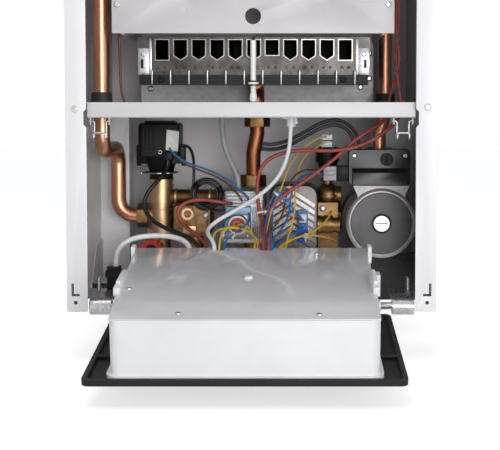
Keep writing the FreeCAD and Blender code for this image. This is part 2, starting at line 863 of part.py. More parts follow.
def fan_housing():
    hood_top = "chamber_top + exchanger_height + hood_height"
    drum = rod("Y", "0", fan_front, "fan_height", "fan_radius", "fan_width")
    neck = box("-fan_outlet_half", fan_front, "fan_height", "fan_outlet_half * 2", "fan_width",
               "case_height - sheet - fan_height")
    foot = box("-hood_top_half", fan_front, hood_top, "hood_top_half * 2", "fan_width",
               "fan_height - chamber_top - exchanger_height - hood_height - fan_radius * fan_foot_share")
    cavity = rod("Y", "0", f"{fan_front} + fan_wall", "fan_height", "fan_radius - fan_wall",
                 "fan_width - fan_wall * 2")
    throat = box("-fan_outlet_half + fan_wall", f"{fan_front} + fan_wall", "fan_height",
                 "(fan_outlet_half - fan_wall) * 2", "fan_width - fan_wall * 2", "case_height - fan_height")
    bore = rod("Y", "0", f"{fan_front} - overrun", "fan_height", "shaft_radius + running_gap",
               "overrun * 2")
    can = rod("Y", "0", f"{fan_front} - fan_motor_length", "fan_height", "fan_motor_radius",
              "fan_motor_length")
    can_bore = rod("Y", "0", f"{fan_front} - fan_motor_length / 2", "fan_height",
                   "shaft_radius + running_gap", "fan_motor_length")
    return together(cut(joined(drum, neck, foot), cavity, throat, bore), cut(can, can_bore))


node("fan_housing", fan_housing())


def fan_impeller():
    middle = -S.flue_front
    start = middle - S.impeller_width / 2
    axis = Vector(0, 1, 0)
    disc = Part.makeCylinder(S.impeller_radius, S.impeller_sheet, Vector(0, start, S.fan_height), axis)
    hub = Part.makeCylinder(S.shaft_radius * 2, S.impeller_width / 2, Vector(0, start, S.fan_height), axis)
    reach = S.fan_width / 2 - S.impeller_width / 2 + S.fan_motor_length / 2
    shaft = Part.makeCylinder(S.shaft_radius, reach, Vector(0, start - reach, S.fan_height), axis)
    blades = []
    for index in range(int(S.impeller_blades)):
        blade_box = Part.makeBox(S.impeller_sheet, S.impeller_width, S.impeller_blade_depth,
                                 Vector(-S.impeller_sheet / 2, start,
                                        S.fan_height + S.impeller_radius - S.impeller_blade_depth))
        blade_box.rotate(Vector(0, 0, S.fan_height), axis, index * 360 / int(S.impeller_blades))
        blades.append(blade_box)
    ring = Part.makeCylinder(S.impeller_radius, S.impeller_sheet,
                             Vector(0, start + S.impeller_width - S.impeller_sheet, S.fan_height), axis)
    ring_hole = Part.makeCylinder(S.impeller_radius - S.impeller_blade_depth, S.impeller_width,
                                  Vector(0, start + S.impeller_sheet, S.fan_height), axis)
    return disc.multiFuse([hub, shaft, ring.cut(ring_hole)] + blades)


node("fan_impeller", formed(fan_impeller()))

# Flue outlet: outer air collar, inner flue spigot and a square flange on the top panel
flue_floor = "case_height"
flue_collar = rod("Z", "0", "-flue_front", f"{flue_floor} + sheet", "flue_radius", "flue_rise - sheet")
flue_flange = box("-flue_flange", "-flue_front - flue_flange", flue_floor, "flue_flange * 2",
                  "flue_flange * 2", "sheet")
flue_room = rod("Z", "0", "-flue_front", f"{flue_floor} - overrun", "flue_radius - flue_wall",
                "flue_rise + overrun * 2")
flue_spigot = rod("Z", "0", "-flue_front", f"{flue_floor} - sheet", "flue_inner_radius",
                  "flue_rise + sheet")
flue_bore = rod("Z", "0", "-flue_front", f"{flue_floor} - overrun", "flue_inner_radius - flue_wall",
                "flue_rise + overrun * 2")
node("flue_outlet",
     together(cut(flue_flange, flue_room), cut(flue_collar, flue_room), cut(flue_spigot, flue_bore)))


# Expansion vessel: two pressed dishes with a rolled rim, flat against the back panel
def expansion_vessel():
    back = -S.sheet - S.fit_gap
    front = back - S.vessel_depth
    middle = (back + front) / 2
    flat = S.vessel_radius - S.vessel_depth / 2
    body = S.vessel_radius - S.vessel_rim
    points = [Vector(0, back, 0), Vector(flat, back, 0), Vector(body, middle + S.vessel_rim, 0),
              Vector(S.vessel_radius, middle + S.vessel_rim, 0),
              Vector(S.vessel_radius, middle - S.vessel_rim, 0),
              Vector(body, middle - S.vessel_rim, 0), Vector(flat, front, 0), Vector(0, front, 0)]
    shape = Part.Face(Part.makePolygon(points + points[:1])).revolve(Vector(), Vector(0, 1, 0), 360)
    shape.translate(Vector(0, 0, S.vessel_height))
    return shape


node("expansion_vessel", formed(expansion_vessel()))

# Air pressure switch on a bracket from the right side panel
switch_y = "-switch_back - switch_depth"
switch_body = rod("Y", "switch_side", switch_y, "switch_height", "switch_radius", "switch_depth")
switch_rim = rod("Y", "switch_side", f"{switch_y} + switch_depth / 3", "switch_height",
                 "switch_radius + sheet * 2",
                 "switch_depth / 4")
switch_ports = [rod("Y", f"switch_side {side} switch_radius / 2", f"{switch_y} - overrun * 2",
                    "switch_height",
                    "shaft_radius", "overrun * 2") for side in "+-"]
switch_plate = box("switch_side - switch_radius / 2", "-switch_back", "switch_height - switch_radius / 2",
                   "case_width / 2 - sheet - switch_side + switch_radius / 2", "sheet", "switch_radius")
node("pressure_switch", joined(switch_body, switch_rim, switch_plate, *switch_ports))


# Copper pipes
def copper(points, radius):
    return tube(points, radius, S.pipe_bend)[0]


exchanger_middle = S.chamber_top + S.exchanger_height / 2
node("flow_pipe", formed(copper([
    Vector(-S.exchanger_half, -S.flow_front, exchanger_middle),
    Vector(-S.flow_x, -S.flow_front, exchanger_middle),
    Vector(-S.flow_x, -S.flow_front, S.flow_jog_height),
    Vector(-S.flow_low_x, -S.water_front, S.flow_jog_height),
    Vector(-S.flow_low_x, -S.water_front, S.diverter_inlet_height),
    Vector(-S.diverter_x - S.diverter_radius, -S.water_front, S.diverter_inlet_height)], S.pipe_radius)))
node("return_pipe", formed(copper([
    Vector(S.exchanger_half, -S.water_front, exchanger_middle),
    Vector(S.return_x, -S.water_front, exchanger_middle),
    Vector(S.return_x, -S.water_front, S.return_jog_top),
    Vector(S.return_low_x, -S.water_front, S.return_jog_floor),
    Vector(S.return_low_x, -S.water_front, S.pump_port_top)], S.thin_pipe_radius)))
rail_middle = S.burner_floor - S.rail_height + S.pipe_radius / 2
node("gas_pipe", formed(copper([
    Vector(S.gas_x, -S.rail_front + S.rail_depth, rail_middle),
    Vector(S.gas_x, -S.gas_front, rail_middle),
    Vector(S.gas_x, -S.gas_front, S.gas_jog_top),
    Vector(-S.gas_low_x, -S.gas_front, S.gas_jog_floor),
    Vector(-S.gas_low_x, -S.gas_front, S.valve_top)], S.pipe_radius)))


def nut(axis, x, y, z, across, length, bore):
    start = f"{x if axis == 'X' else z} - overrun"
    hole_place = (start, y, z) if axis == "X" else (x, y, start)
    hole = rod(axis, *hole_place, bore, f"{length} + overrun * 2")
    return cut(hexagon(axis, x, y, z, across, length), hole)


node("pipe_nuts", together(
    nut("X", "-diverter_x - diverter_radius - nut_length - diverter_ring", "-water_front",
        "diverter_inlet_height",
        "nut_across", "nut_length", "pipe_radius + fit_gap / 10"),
    nut("Z", "gas_x", "-gas_front", "shelf_height - gas_nut_length * 2", "gas_nut_across",
        "gas_nut_length * 2",
        "pipe_radius + fit_gap / 10"),
    nut("Z", "-gas_low_x", "-gas_front", "valve_top", "gas_nut_across", "gas_nut_length",
        "pipe_radius + fit_gap / 10"),
    nut("Z", "return_low_x", "-water_front", "pump_port_top", "nut_across", "nut_length / 2",
        "thin_pipe_radius + fit_gap / 10")))


def grommet(x, y, bore):
    sleeve = taper("Z", x, y, "shelf_height + sheet", "grommet_radius", "grommet_radius - sheet",
                   "grommet_height")
    return cut(sleeve, rod("Z", x, y, "shelf_height", f"{bore} + fit_gap / 10", "grommet_height * 2"))


node("pipe_grommets", together(grommet("-flow_x", "-flow_front", "pipe_radius"),
                               grommet("return_x", "-water_front", "thin_pipe_radius")))


# Diverter valve: brass body, and a black motor held on it by a wire clip
def diverter_body():
    x = "-diverter_x"
    y = "-water_front"
    body = rod("Z", x, y, "diverter_floor", "diverter_radius", "diverter_top - diverter_floor")
    foot = rod("Z", x, y, "diverter_floor", "diverter_foot_radius", "diverter_foot_height")
    rings = [rod("Z", x, y, f"diverter_top - diverter_ring * {step}", "diverter_radius + diverter_ring / 2",
                 "diverter_ring") for step in (1, 4)]
    inlet = rod("X", f"{x} - diverter_radius - diverter_ring", y, "diverter_inlet_height",
                "diverter_inlet_radius",
                "diverter_radius")
    return joined(body, foot, inlet, *rings)


diverter_pipe_hole = rod("X", "-diverter_x - diverter_radius * 2", "-water_front", "diverter_inlet_height",
                         "pipe_radius + fit_gap / 10", "diverter_radius")
node("diverter_body", cut(diverter_body(), diverter_pipe_hole))


def diverter_motor():
    x = "-diverter_x"
    y = "-water_front"
    collar_part = rod("Z", x, y, "diverter_top", "motor_collar_radius", "motor_collar_height")
    clip_floor = "diverter_top + motor_collar_height"
    clip = rod("Z", x, y, clip_floor, "motor_clip_radius", "motor_clip_height")
    neck_floor = f"{clip_floor} + motor_clip_height"
    neck = taper("Z", x, y, neck_floor, "motor_neck_radius - diverter_ring",
                 "motor_neck_radius + motor_ear",
                 
                 "motor_neck_height")
    floor = S.diverter_top + S.motor_collar_height + S.motor_clip_height + S.motor_neck_height
    low = (-S.diverter_x - S.motor_width / 2, -S.water_front - S.motor_depth / 2 - S.motor_ear)
    high = (-S.diverter_x + S.motor_width / 2, -S.water_front + S.motor_depth / 2)
    block = rounded_prism(low, high, S.motor_round, lambda a, b: Vector(a, b, floor),
                          Vector(0, 0, S.motor_height))
    lid = formed(edged(block, S.motor_bevel, Vector(0, 0, 1)))
    ears = box(f"{x} - motor_width / 2 - motor_ear", f"{y} - motor_depth / 4",
               f"{neck_floor} + motor_neck_height / 2",
               "motor_width + motor_ear * 2", "motor_depth / 2", "motor_neck_height")
    return joined(collar_part, clip, neck, lid, ears)


node("diverter_motor", diverter_motor())


# Brass manifold: a cross tube and a cast block with a plugged filling port
def manifold():
    y = "-water_front"
    cross = rod("X", "-diverter_x + diverter_radius - diverter_ring", y, "manifold_tube_height",
                "manifold_tube_radius", "diverter_x - diverter_radius + diverter_ring - manifold_tube_end")
    cap = rod("X", "-manifold_tube_end - diverter_ring * 2", y, "manifold_tube_height",
              "manifold_tube_radius + diverter_ring", "diverter_ring * 2")
    low = (-S.manifold_left, S.manifold_floor)
    high = (-S.manifold_right, S.manifold_top)
    block = rounded_prism(low, high, S.manifold_round, lambda a, b: Vector(a, -S.manifold_front, b),
                          Vector(0, S.manifold_front - S.manifold_back, 0))
    casting = formed(edged(block, S.casting_edge, Vector(0, -1, 0)))
    port = rod("Y", "-plug_x", "-manifold_front - plug_length", "plug_height", "plug_radius", "plug_length")
    socket = hexagon("Y", "-plug_x", "-manifold_front - plug_length", "plug_height", "plug_socket * 2",
                     "plug_length")
    step = box("-manifold_right - manifold_round * 3", "-manifold_front - plug_length / 2",
               "manifold_floor + manifold_round", "manifold_round * 2", "plug_length / 2",
               "(manifold_top - manifold_floor) / 2")
    room = rod("Z", "-diverter_x", y, "manifold_floor - overrun", "diverter_foot_radius + fit_gap",
               "manifold_top - manifold_floor + overrun * 2")
    body_room = rod("Z", "-diverter_x", y, "manifold_tube_height - manifold_tube_radius * 2",
                    "diverter_radius + fit_gap / 10", "manifold_tube_radius * 4")
    screw_boss = rod("Y", "-screw_boss_x", "-manifold_front - plug_length / 2", "screw_boss_height",
                     "screw_boss_radius", "plug_length / 2")
    cast = cut(joined(casting, step, screw_boss, cut(port, socket)), room)
    return joined(cast, cut(cross, body_room), cap)


node("brass_manifold", manifold())

# Relief valve below the diverter, with a red cap that turns to open it
relief_body = cut(
    rod("Y", "-relief_x", "-relief_front", "relief_height", "relief_radius", "relief_front - water_front"),
    rod("Z", "-diverter_x", "-water_front", "-tail_drop", "tail_radius + fit_gap / 10",
        "diverter_floor + tail_drop"))
relief_stem = rod("Y", "-relief_x", "-relief_front - relief_cap_depth / 2", "relief_height",
                  "relief_stem_radius",
                  "relief_cap_depth / 2")
node("relief_valve", joined(relief_body, relief_stem))


def relief_cap():
    start = "-relief_front - relief_cap_depth - fit_gap"
    drum = rod("Y", "-relief_x", start, "relief_height", "relief_cap_radius", "relief_cap_depth")
    grooves = []
    for index in range(int(S.relief_cap_lobes)):
        angle = f"{index} * 360 / relief_cap_lobes"
        reach = "relief_cap_radius + relief_lobe_radius / 2"
        grooves.append(rod("Y", f"-relief_x + ({reach}) * cos({angle})", f"{start} - overrun",
                           f"relief_height + ({reach}) * sin({angle})", "relief_lobe_radius",
                           "relief_cap_depth + overrun * 2"))
    well = rod("Y", "-relief_x", f"{start} - overrun", "relief_height", "relief_cap_radius / 2",
               "overrun * 2")
    bore = rod("Y", "-relief_x", start, "relief_height", "relief_stem_radius + running_gap",
               "relief_cap_depth + overrun")
    return cut(drum, well, bore, *grooves)


node("relief_cap", relief_cap())


# Gas valve: cast body, front plate and a round operator coil
def gas_valve():
    low = (-S.valve_left, -S.valve_front)
    high = (S.valve_right, -S.valve_back)
    block = rounded_prism(low, high, S.valve_round, lambda a, b: Vector(a, b, S.valve_floor),
                          Vector(0, 0, S.valve_top - S.valve_floor))
    body = formed(edged(block, S.valve_edge, Vector(0, 0, 1)))
    plate = box("-valve_left + valve_round", "-valve_front - valve_plate_depth",
                "coil_height - coil_radius - valve_round",
                "coil_radius * 2 + valve_round", "valve_plate_depth", "valve_plate_height")
    start = "-valve_front - valve_plate_depth"
    steps = []
    for index in range(int(S.coil_rings)):
        length = f"coil_length - coil_step * (coil_rings - {index + 1})"
        steps.append(rod("Y", "-coil_x", f"{start} - ({length})", "coil_height",
                         f"coil_radius - coil_step * {index}",
                         length))
    return joined(body, plate, *steps)


node("gas_valve", gas_valve())


# Plate heat exchanger: a brazed stack with chevron ribs on its front plate
def plate_exchanger():
    low = (S.plates_left, S.plates_floor)
    high = (S.plates_right, S.plates_top)
    stack = rounded_prism(low, high, S.plates_round, lambda a, b: Vector(a, -S.plates_front, b),
                          Vector(0, S.plates_front - S.plates_back, 0))
    middle = (S.plates_left + S.plates_right) / 2
    half = (S.plates_right - S.plates_left) / 2 - S.chevron_width
    clear = S.plates_round / 2
    room = S.plates_top - S.plates_floor - S.chevron_fall - S.chevron_width - clear * 2
    front = -S.plates_front - S.chevron_depth
    ribs = []
    for index in range(int(S.chevron_count)):
        z = S.plates_floor + clear + room * index / (S.chevron_count - 1)
        outline = [(middle - half, z), (middle, z + S.chevron_fall), (middle + half, z),
                   (middle + half, z + S.chevron_width), (middle, z + S.chevron_fall + S.chevron_width),
                   (middle - half, z + S.chevron_width)]
        ribs.append(prism([Vector(a, front, b) for a, b in outline], Vector(0, S.chevron_depth, 0)))
    return edged(stack, S.chevron_depth, Vector(0, -1, 0)).multiFuse(ribs)


node("plate_exchanger", formed(plate_exchanger()))

# Flow sensor: a blue block clipped to the front of the plate stack
sensor_back = "-plates_front - chevron_depth"
sensor_block = box("sensor_x - sensor_width / 2", f"{sensor_back} - sensor_depth", "sensor_floor",
                   "sensor_width",
                   "sensor_depth", "sensor_height")
sensor_cap = rod("Y", "sensor_x", f"{sensor_back} - sensor_depth - sensor_width / 3",
                 "sensor_floor + sensor_height / 2",
                 "sensor_width / 3", "sensor_width / 3")
node("flow_sensor", joined(sensor_block, sensor_cap))


# Return manifold on the right: cast block, globe, stem for the vent and outlet to the pump
def return_manifold():
    y = "-water_front"
    block = box("globe_x - return_block_width / 2", f"{y} - return_block_depth / 2", "return_block_floor",
                "return_block_width", "return_block_depth", "return_block_top - return_block_floor")
    globe = ball("globe_x", y, "globe_height", "globe_radius")
    stem = rod("Z", "globe_x", y, "globe_height", "globe_stem_radius", "vent_floor - globe_height")
    outlet = rod("X", "globe_x", y, "pump_height", "pump_port_radius - diverter_ring",
                 "pump_x - volute_radius - globe_x + diverter_ring")
    gland = hexagon("X", "globe_x + return_block_width / 2", y, "pump_height", "nut_across",
                    "diverter_ring * 2")
    boss = rod("X", "globe_x - return_block_width / 2", f"{y} - return_block_depth / 2",
               "return_boss_height",
               "return_boss_radius", "return_block_width + diverter_ring")
    return joined(block, globe, stem, outlet, gland, boss)


volute_room = rod("Y", "pump_x", "-case_depth", "pump_height", "volute_radius", "case_depth")
plates_room = box("plates_left", "-plates_front", "plates_floor", "plates_right - plates_left",
                  "plates_front - plates_back", "plates_top")
node("return_manifold", cut(return_manifold(), volute_room, plates_room))


# Automatic air vent: black bowl with a castellated cap
def air_vent():
    x = "globe_x"
    y = "-water_front"
    bowl = taper("Z", x, y, "vent_floor", "vent_radius * vent_bowl_share", "vent_radius", "vent_height / 2")
    rim = rod("Z", x, y, "vent_floor + vent_height / 2", "vent_radius", "vent_height / 2")
    gaps = []
    for index in range(int(S.vent_teeth)):
        angle = f"{index} * 360 / vent_teeth"
        gaps.append(rod("Z", f"{x} + vent_radius * cos({angle})", f"{y} + vent_radius * sin({angle})",
                        "vent_floor + vent_height * vent_tooth_share", "vent_tooth_depth / 2",
                        "vent_height"))
    plug = box(f"{x} - vent_plug_width / 2", f"{y} - vent_plug_width / 2", "vent_floor + vent_height",
               "vent_plug_width", "vent_plug_width", "vent_plug_height")
    return joined(cut(joined(bowl, rim), *gaps), plug)


node("air_vent", air_vent())


# Pump: dark volute, bright motor housing with shoulders, terminal box and vent screw
motor_back = "-pump_front + pump_motor_depth"


def pump_body():
    drum = rod("Y", "pump_x", motor_back, "pump_height", "volute_radius", "volute_depth")
    port = rod("Z", "return_low_x", "-water_front", "pump_height", "pump_port_radius",
               "pump_port_top - pump_height")
    return joined(drum, port)


node("pump_body", pump_body())


def pump_motor():
    can = rod("Y", "pump_x", "-pump_front + pump_bevel", "pump_height", "pump_radius",
              "pump_motor_depth - pump_bevel")
    bevel = taper("Y", "pump_x", "-pump_front", "pump_height", "pump_radius - pump_bevel", "pump_radius",
                  "pump_bevel")
    front = -S.pump_front + S.pump_face_recess * 2
    rise = S.terminal_floor - S.pump_height
    outline = [(-S.pump_neck_half, 0), (-S.pump_neck_half, rise * S.pump_shoulder_share),
               (-S.pump_shoulder_half, rise),
               (S.pump_shoulder_half, rise), (S.pump_neck_half,
                                              rise * S.pump_shoulder_share), (S.pump_neck_half, 0)]
    shoulder = formed(prism([Vector(S.pump_x + a, front, S.pump_height + b) for a, b in outline],
                            Vector(0, S.terminal_front - S.terminal_back, 0)))
    face = rod("Y", "pump_x", "-pump_front - overrun", "pump_height", "pump_face_radius",
               "overrun + pump_face_recess")
    bore = rod("Y", "pump_x", "-pump_front - overrun", "pump_height", "vent_screw_stem + running_gap",
               "overrun + pump_motor_depth / 2")
    return cut(joined(can, bevel, shoulder), face, bore)


node("pump_motor", pump_motor())


def terminal_box():
    low = (S.terminal_left, S.terminal_floor)
    high = (S.terminal_right, S.terminal_top)
    depth = S.terminal_front - S.terminal_back
    base = rounded_prism(low, high, S.terminal_round,
                         lambda a, b: Vector(a, -S.terminal_front + S.terminal_step, b),
                         Vector(0, depth - S.terminal_step, 0))
    brow = [(S.terminal_top - S.terminal_round, 0), (S.terminal_floor + S.terminal_step * 4, 0),
            (S.terminal_floor + S.terminal_step * 3, -S.terminal_step),
            (S.terminal_floor, -S.terminal_step), (S.terminal_floor, S.terminal_step),
            (S.terminal_top - S.terminal_round, S.terminal_step)]
    start = S.terminal_left + S.terminal_round
    cover = prism([Vector(start, -S.terminal_front + S.terminal_step + b, a) for a, b in brow],
                  Vector(S.terminal_right - S.terminal_left - S.terminal_round * 2, 0, 0))
    plug = Part.makeBox(S.pump_plug_length, S.pump_plug_depth, S.pump_plug_height,
                        Vector(S.terminal_left - S.pump_plug_length,
                               -S.terminal_front + S.terminal_step * 2,
                               
                               S.terminal_floor + S.terminal_step))
    return base.fuse(cover), plug


terminal_cover, terminal_plug = terminal_box()
node("pump_terminal_box", formed(terminal_cover))
node("lead_connectors", formed(terminal_plug))


def pump_vent_screw():
    head = rod("Y", "pump_x", "-pump_front - vent_screw_depth + pump_face_recess - fit_gap", "pump_height",
               "vent_screw_radius", "vent_screw_depth")
    stem = rod("Y", "pump_x", "-pump_front", "pump_height", "vent_screw_stem", "pump_motor_depth / 3")
    slot = box("pump_x - vent_screw_radius", "-pump_front - vent_screw_depth - overrun",
               "pump_height - vent_screw_slot / 2",
               "vent_screw_radius * 2", "vent_screw_depth * vent_slot_share + overrun", "vent_screw_slot")
    return cut(joined(head, stem), slot)


node("pump_vent_screw", pump_vent_screw())


# Pipe tails under the casing, each running up to the piece that it feeds
TAILS = (
    ("-diverter_x", "-water_front", "diverter_floor"),
    ("-hot_tail_x", "-water_front", "manifold_floor"),
    ("-gas_low_x", "-water_front", "valve_floor"),
    ("cold_tail_x", "-water_front", "plates_floor"),
    ("globe_x", "-water_front", "return_block_floor"),
)


def tail(x, y, top):
    pipe = rod("Z", x, y, "-tail_drop", "tail_radius", f"{top} + tail_drop")
    collar_nut = hexagon("Z", x, y, "bracket_height + sheet", "tail_nut_across", "tail_nut_height")
    lock_nut = hexagon("Z", x, y, "0", "tail_nut_across", "bracket_height")
    bore = rod("Z", x, y, "-tail_drop - overrun", "tail_radius - tail_wall", "tail_drop + overrun")
    return cut(joined(pipe, collar_nut, lock_nut), bore)


node("pipe_tails", together(*[tail(*place_of) for place_of in TAILS]))


def pipe_bracket():
    half = "case_width / 2 - sheet - fit_gap"
    plate = box(f"-({half})", "-bracket_front", "bracket_height", f"({half}) * 2", "bracket_front - sheet",
                "sheet")
    holes = [rod("Z", x, y, "bracket_height - overrun", "tail_radius + fit_gap", "overrun * 2") for x, y,
             top in TAILS]
    edge = S.case_width / 2 - S.sheet - S.fit_gap
    floor = S.bracket_height
    back = -S.upright_front - S.fit_gap
    outline = [(-S.bracket_front, floor), (-S.bracket_front, floor + S.sheet * 4),
               (-S.bracket_side_front + S.bracket_side_height / 2, floor + S.bracket_side_height),
               (back, floor + S.bracket_side_height), (back, floor)]
    left_side = formed(prism([Vector(-edge, a, b) for a, b in outline], Vector(S.sheet, 0, 0)))
    return cut(joined(plate, left_side, mirrored(left_side)), *holes)


node("pipe_bracket", pipe_bracket())


# Hinge brackets: galvanised plates with a rolled front edge, a hinge pin and two studs
def hinge_bracket():
    inner = "-hinge_bracket_inner"
    reach = "case_width / 2 - sheet - fit_gap - hinge_bracket_inner"
    roll_length = "case_width / 2 - flange_width - fit_gap - hinge_bracket_inner"
    roll_x = "-case_width / 2 + flange_width + fit_gap"
    plate_z = "hinge_height + roll_radius - roll_wall"
    plate = box(f"{inner} - ({reach})", "-hinge_front", plate_z, reach, "hinge_front - hinge_plate_back",
                "roll_wall")
    roll = rod("X", roll_x, "-hinge_front", "hinge_height", "roll_radius", roll_length)
    room = rod("X", f"{roll_x} - overrun", "-hinge_front", "hinge_height", "roll_radius - roll_wall",
               f"{roll_length} + overrun * 2")
    web = rod("X", f"{inner} - roll_wall * 2", "-hinge_front", "hinge_height",
              "roll_radius - roll_wall / 2",
              
              "roll_wall")
    pin = rod("X", f"{inner} - roll_wall * 2", "-hinge_front", "hinge_height", "hinge_pin_radius",
              "hinge_bracket_inner - box_half - box_wall * 2 + roll_wall * 2")
    studs = [rod("Z", f"{inner} - flange_width", f"-hinge_plate_back - stud_height * {step} / 2", plate_z,
                 "stud_radius",
                 "stud_height") for step in (1, 2)]
    return joined(plate, cut(roll, room), web, pin, *studs)


left_hinge = hinge_bracket()
node("hinge_brackets", together(left_hinge, mirrored(left_hinge)))

# Cable clamp on the left bracket plate
clamp_floor = "hinge_height + roll_radius"
clamp_block = box("-clamp_x - clamp_width / 2", "-clamp_front", clamp_floor, "clamp_width", "clamp_depth",
                  f"clamp_top - ({clamp_floor})")
clamp_bridge = box("-clamp_x - clamp_width / 2 - clamp_sheet", "-clamp_front - clamp_sheet",
                   "clamp_top - clamp_depth",
                   "clamp_width + clamp_sheet * 2", "clamp_depth + clamp_sheet * 2",
                   "clamp_depth - clamp_sheet * 3")
node("cable_clamp", joined(clamp_block, clamp_bridge))


# Latches: bent wire hooks whose ends turn in the lugs under the shelf
def latch(side):
    half = S.latch_width / 2 - S.latch_bend
    out = S.latch_width / 2 + S.fit_gap * 2 + S.sheet * 2
    low = S.latch_height - S.latch_length
    hook = -S.latch_front - S.latch_hook
    right_leg = [(half, hook, low + S.latch_hook), (half, hook, low), (half, -S.latch_front, low),
                 (half, -S.latch_front, S.latch_height), (out, -S.latch_front, S.latch_height)]
    left_leg = [(-x, y, z) for x, y, z in reversed(right_leg)]
    points = [Vector(side * S.latch_x + x, y, z) for x, y, z in left_leg + right_leg]
    return formed(tube(points, S.latch_wire_radius, S.latch_bend)[0])


node("left_latch", latch(-1))
node("right_latch", latch(1))


# Control box, drawn closed: u runs up from the hinge line, v runs back from it
def box_at(x, u, v):
    return Vector(x, -S.hinge_front + v, S.hinge_height + u)


def swing_open(thing):
    hinge_line = Vector(0, -S.hinge_front, S.hinge_height)
    thing.Placement = FreeCAD.Placement(Vector(), FreeCAD.Rotation(Vector(1, 0, 0), S.open_angle),
                                        hinge_line)
    return thing


def lid_line(u):
    if u <= S.lid_bend_reach:
        share = (u + S.box_back) / (S.lid_bend_reach + S.box_back)
        return S.lid_back_rise + (S.lid_bend_rise - S.lid_back_rise) * share
    share = (u - S.lid_bend_reach) / (S.box_reach - S.lid_bend_reach)
    return S.lid_bend_rise + (S.lid_front_rise - S.lid_bend_rise) * share


def across(outline, half):
    # A profile in u and v, extruded across the box
    return prism([box_at(-half, u, v) for u, v in outline], Vector(half * 2, 0, 0))


def box_tray(margin, floor, rise):
    low = (-S.box_half - margin, -S.box_back - margin)
    high = (S.box_half + margin, S.box_reach + margin)
    return rounded_prism(low, high, S.box_corner + margin, lambda x, u: box_at(x, u, floor),
                         Vector(0, rise, 0))


def lid_notches():
    notches = []
    for x in (-S.lid_notch_left, S.lid_notch_right):
        start = box_at(x - S.lid_notch_width / 2, -S.box_back * 2, S.lid_back_rise - S.lid_notch_drop)
        notches.append(Part.makeBox(S.lid_notch_width, S.lid_notch_drop * 2, S.box_back + S.lid_notch_depth,
                                    start))
    return notches


def control_holes(start, length, button_margin):
    # Holes for the two knob stems and the button
    way = Vector(0, 1, 0)
    holes = [Part.makeCylinder(S.knob_stem_radius + S.running_gap, length, box_at(x, S.knob_reach, start),
                               way)
             for x in (-S.knob_x, S.knob_x)]
    return holes + [Part.makeCylinder(S.button_radius + button_margin, length,
                                      box_at(S.button_x, S.knob_reach, start), way)]


def box_body():
    shell = box_tray(0, -S.box_base, S.box_base + S.lid_back_rise)
    skirt = box_tray(S.box_skirt, -S.box_base, S.box_skirt_height)
    far = S.box_reach + S.box_skirt * 2
    near = -S.box_back - S.box_skirt * 2
    above = across([(near, lid_line(near)), (S.lid_bend_reach, S.lid_bend_rise), (far, lid_line(far)),
                    (far, S.lid_back_rise * 2), (near, S.lid_back_rise * 2)], S.box_half * 2)
    pocket = box_tray(-S.box_wall, -S.box_base + S.box_wall, S.lid_back_rise * 2)
    shape = shell.fuse(skirt)
    cheeks = []
    for side in (-1, 1):
        start = S.box_half - S.box_wall if side > 0 else -S.box_half + S.box_wall
        ear = Part.makeCylinder(S.ear_radius, S.ear_length + S.box_wall, box_at(start, 0, 0),
                                Vector(side, 0, 0))
        block_x = S.box_half - S.box_wall if side > 0 else -S.box_half + S.box_wall - S.hinge_block_width
        block = Part.makeBox(S.hinge_block_width, S.hinge_block_height, S.hinge_block_length,
                             box_at(block_x, -S.hinge_block_length / 2, S.hinge_block_start))
        cheek_x = S.box_half - S.box_wall if side > 0 else -S.box_half - S.cheek_width
        cheek = rounded_prism((-S.box_back, S.lid_back_rise - S.cheek_height),
                              (S.cheek_length - S.box_back, S.lid_back_rise + S.cheek_height / 2),
                              S.cheek_height / 3, lambda u, v: box_at(cheek_x, u, v),
                              Vector(S.cheek_width + S.box_wall, 0, 0))
        cheek_room = Part.makeBox(S.box_half * 2, S.lid_back_rise * 2, S.cheek_length * 3,
                                  box_at(-S.box_half, -S.cheek_length, lid_line(0) - S.cheek_height))
        shape = shape.multiFuse([ear, block])
        cheeks.append(cheek.cut(cheek_room))
    bores = [Part.makeCylinder(S.hinge_pin_radius + S.running_gap, S.ear_length + S.overrun,
                               box_at(side * (S.box_half + S.box_wall / 2), 0, 0), Vector(side, 0, 0))
             for side in (-1, 1)]
    holes = control_holes(-S.box_base - S.overrun, S.overrun * 2, S.fit_gap)
    return shape.cut([above, pocket] + bores + holes + lid_notches()).multiFuse(cheeks)


node("box_body", swing_open(formed(box_body())))


def box_lid():
    start = -S.box_back
    outline = [(start, lid_line(start)), (S.lid_bend_reach, S.lid_bend_rise),
               (S.box_reach, S.lid_front_rise)]
    outline += [(u, v + S.lid_thickness) for u, v in reversed(outline)]
    return across(outline, S.box_half - S.fit_gap).cut(lid_notches())


node("box_lid", swing_open(formed(box_lid())))


# Fascia: black front plate with a raised rim round the box
def fascia():
    low = (-S.fascia_half, S.fascia_start)
    high = (S.fascia_half, S.fascia_end)
    face = -S.fascia_face
    outer = rounded_prism(low, high, S.fascia_corner, lambda x, u: box_at(x, u, face),
                          Vector(0, S.fascia_rim_height, 0))
    inner = rounded_prism((low[0] + S.fascia_rim, low[1] + S.fascia_rim),
                          (high[0] - S.fascia_rim, high[1] - S.fascia_rim),
                          S.fascia_corner - S.fascia_rim / 2, lambda x,
                          u: box_at(x, u, face + S.fascia_sheet),
                          Vector(0, S.fascia_rim_height, 0))
    room_half = S.box_half + S.box_skirt + S.fit_gap
    room = Part.makeBox(room_half * 2, S.fascia_rim_height * 2,
                        S.box_reach + S.box_skirt + S.fit_gap + S.box_back * 2,
                        box_at(-room_half, -S.box_back * 2, face + S.fascia_sheet))
    return outer.cut([inner, room] + control_holes(face - S.overrun, S.overrun * 2, S.fit_gap))


node("fascia", swing_open(formed(fascia())))


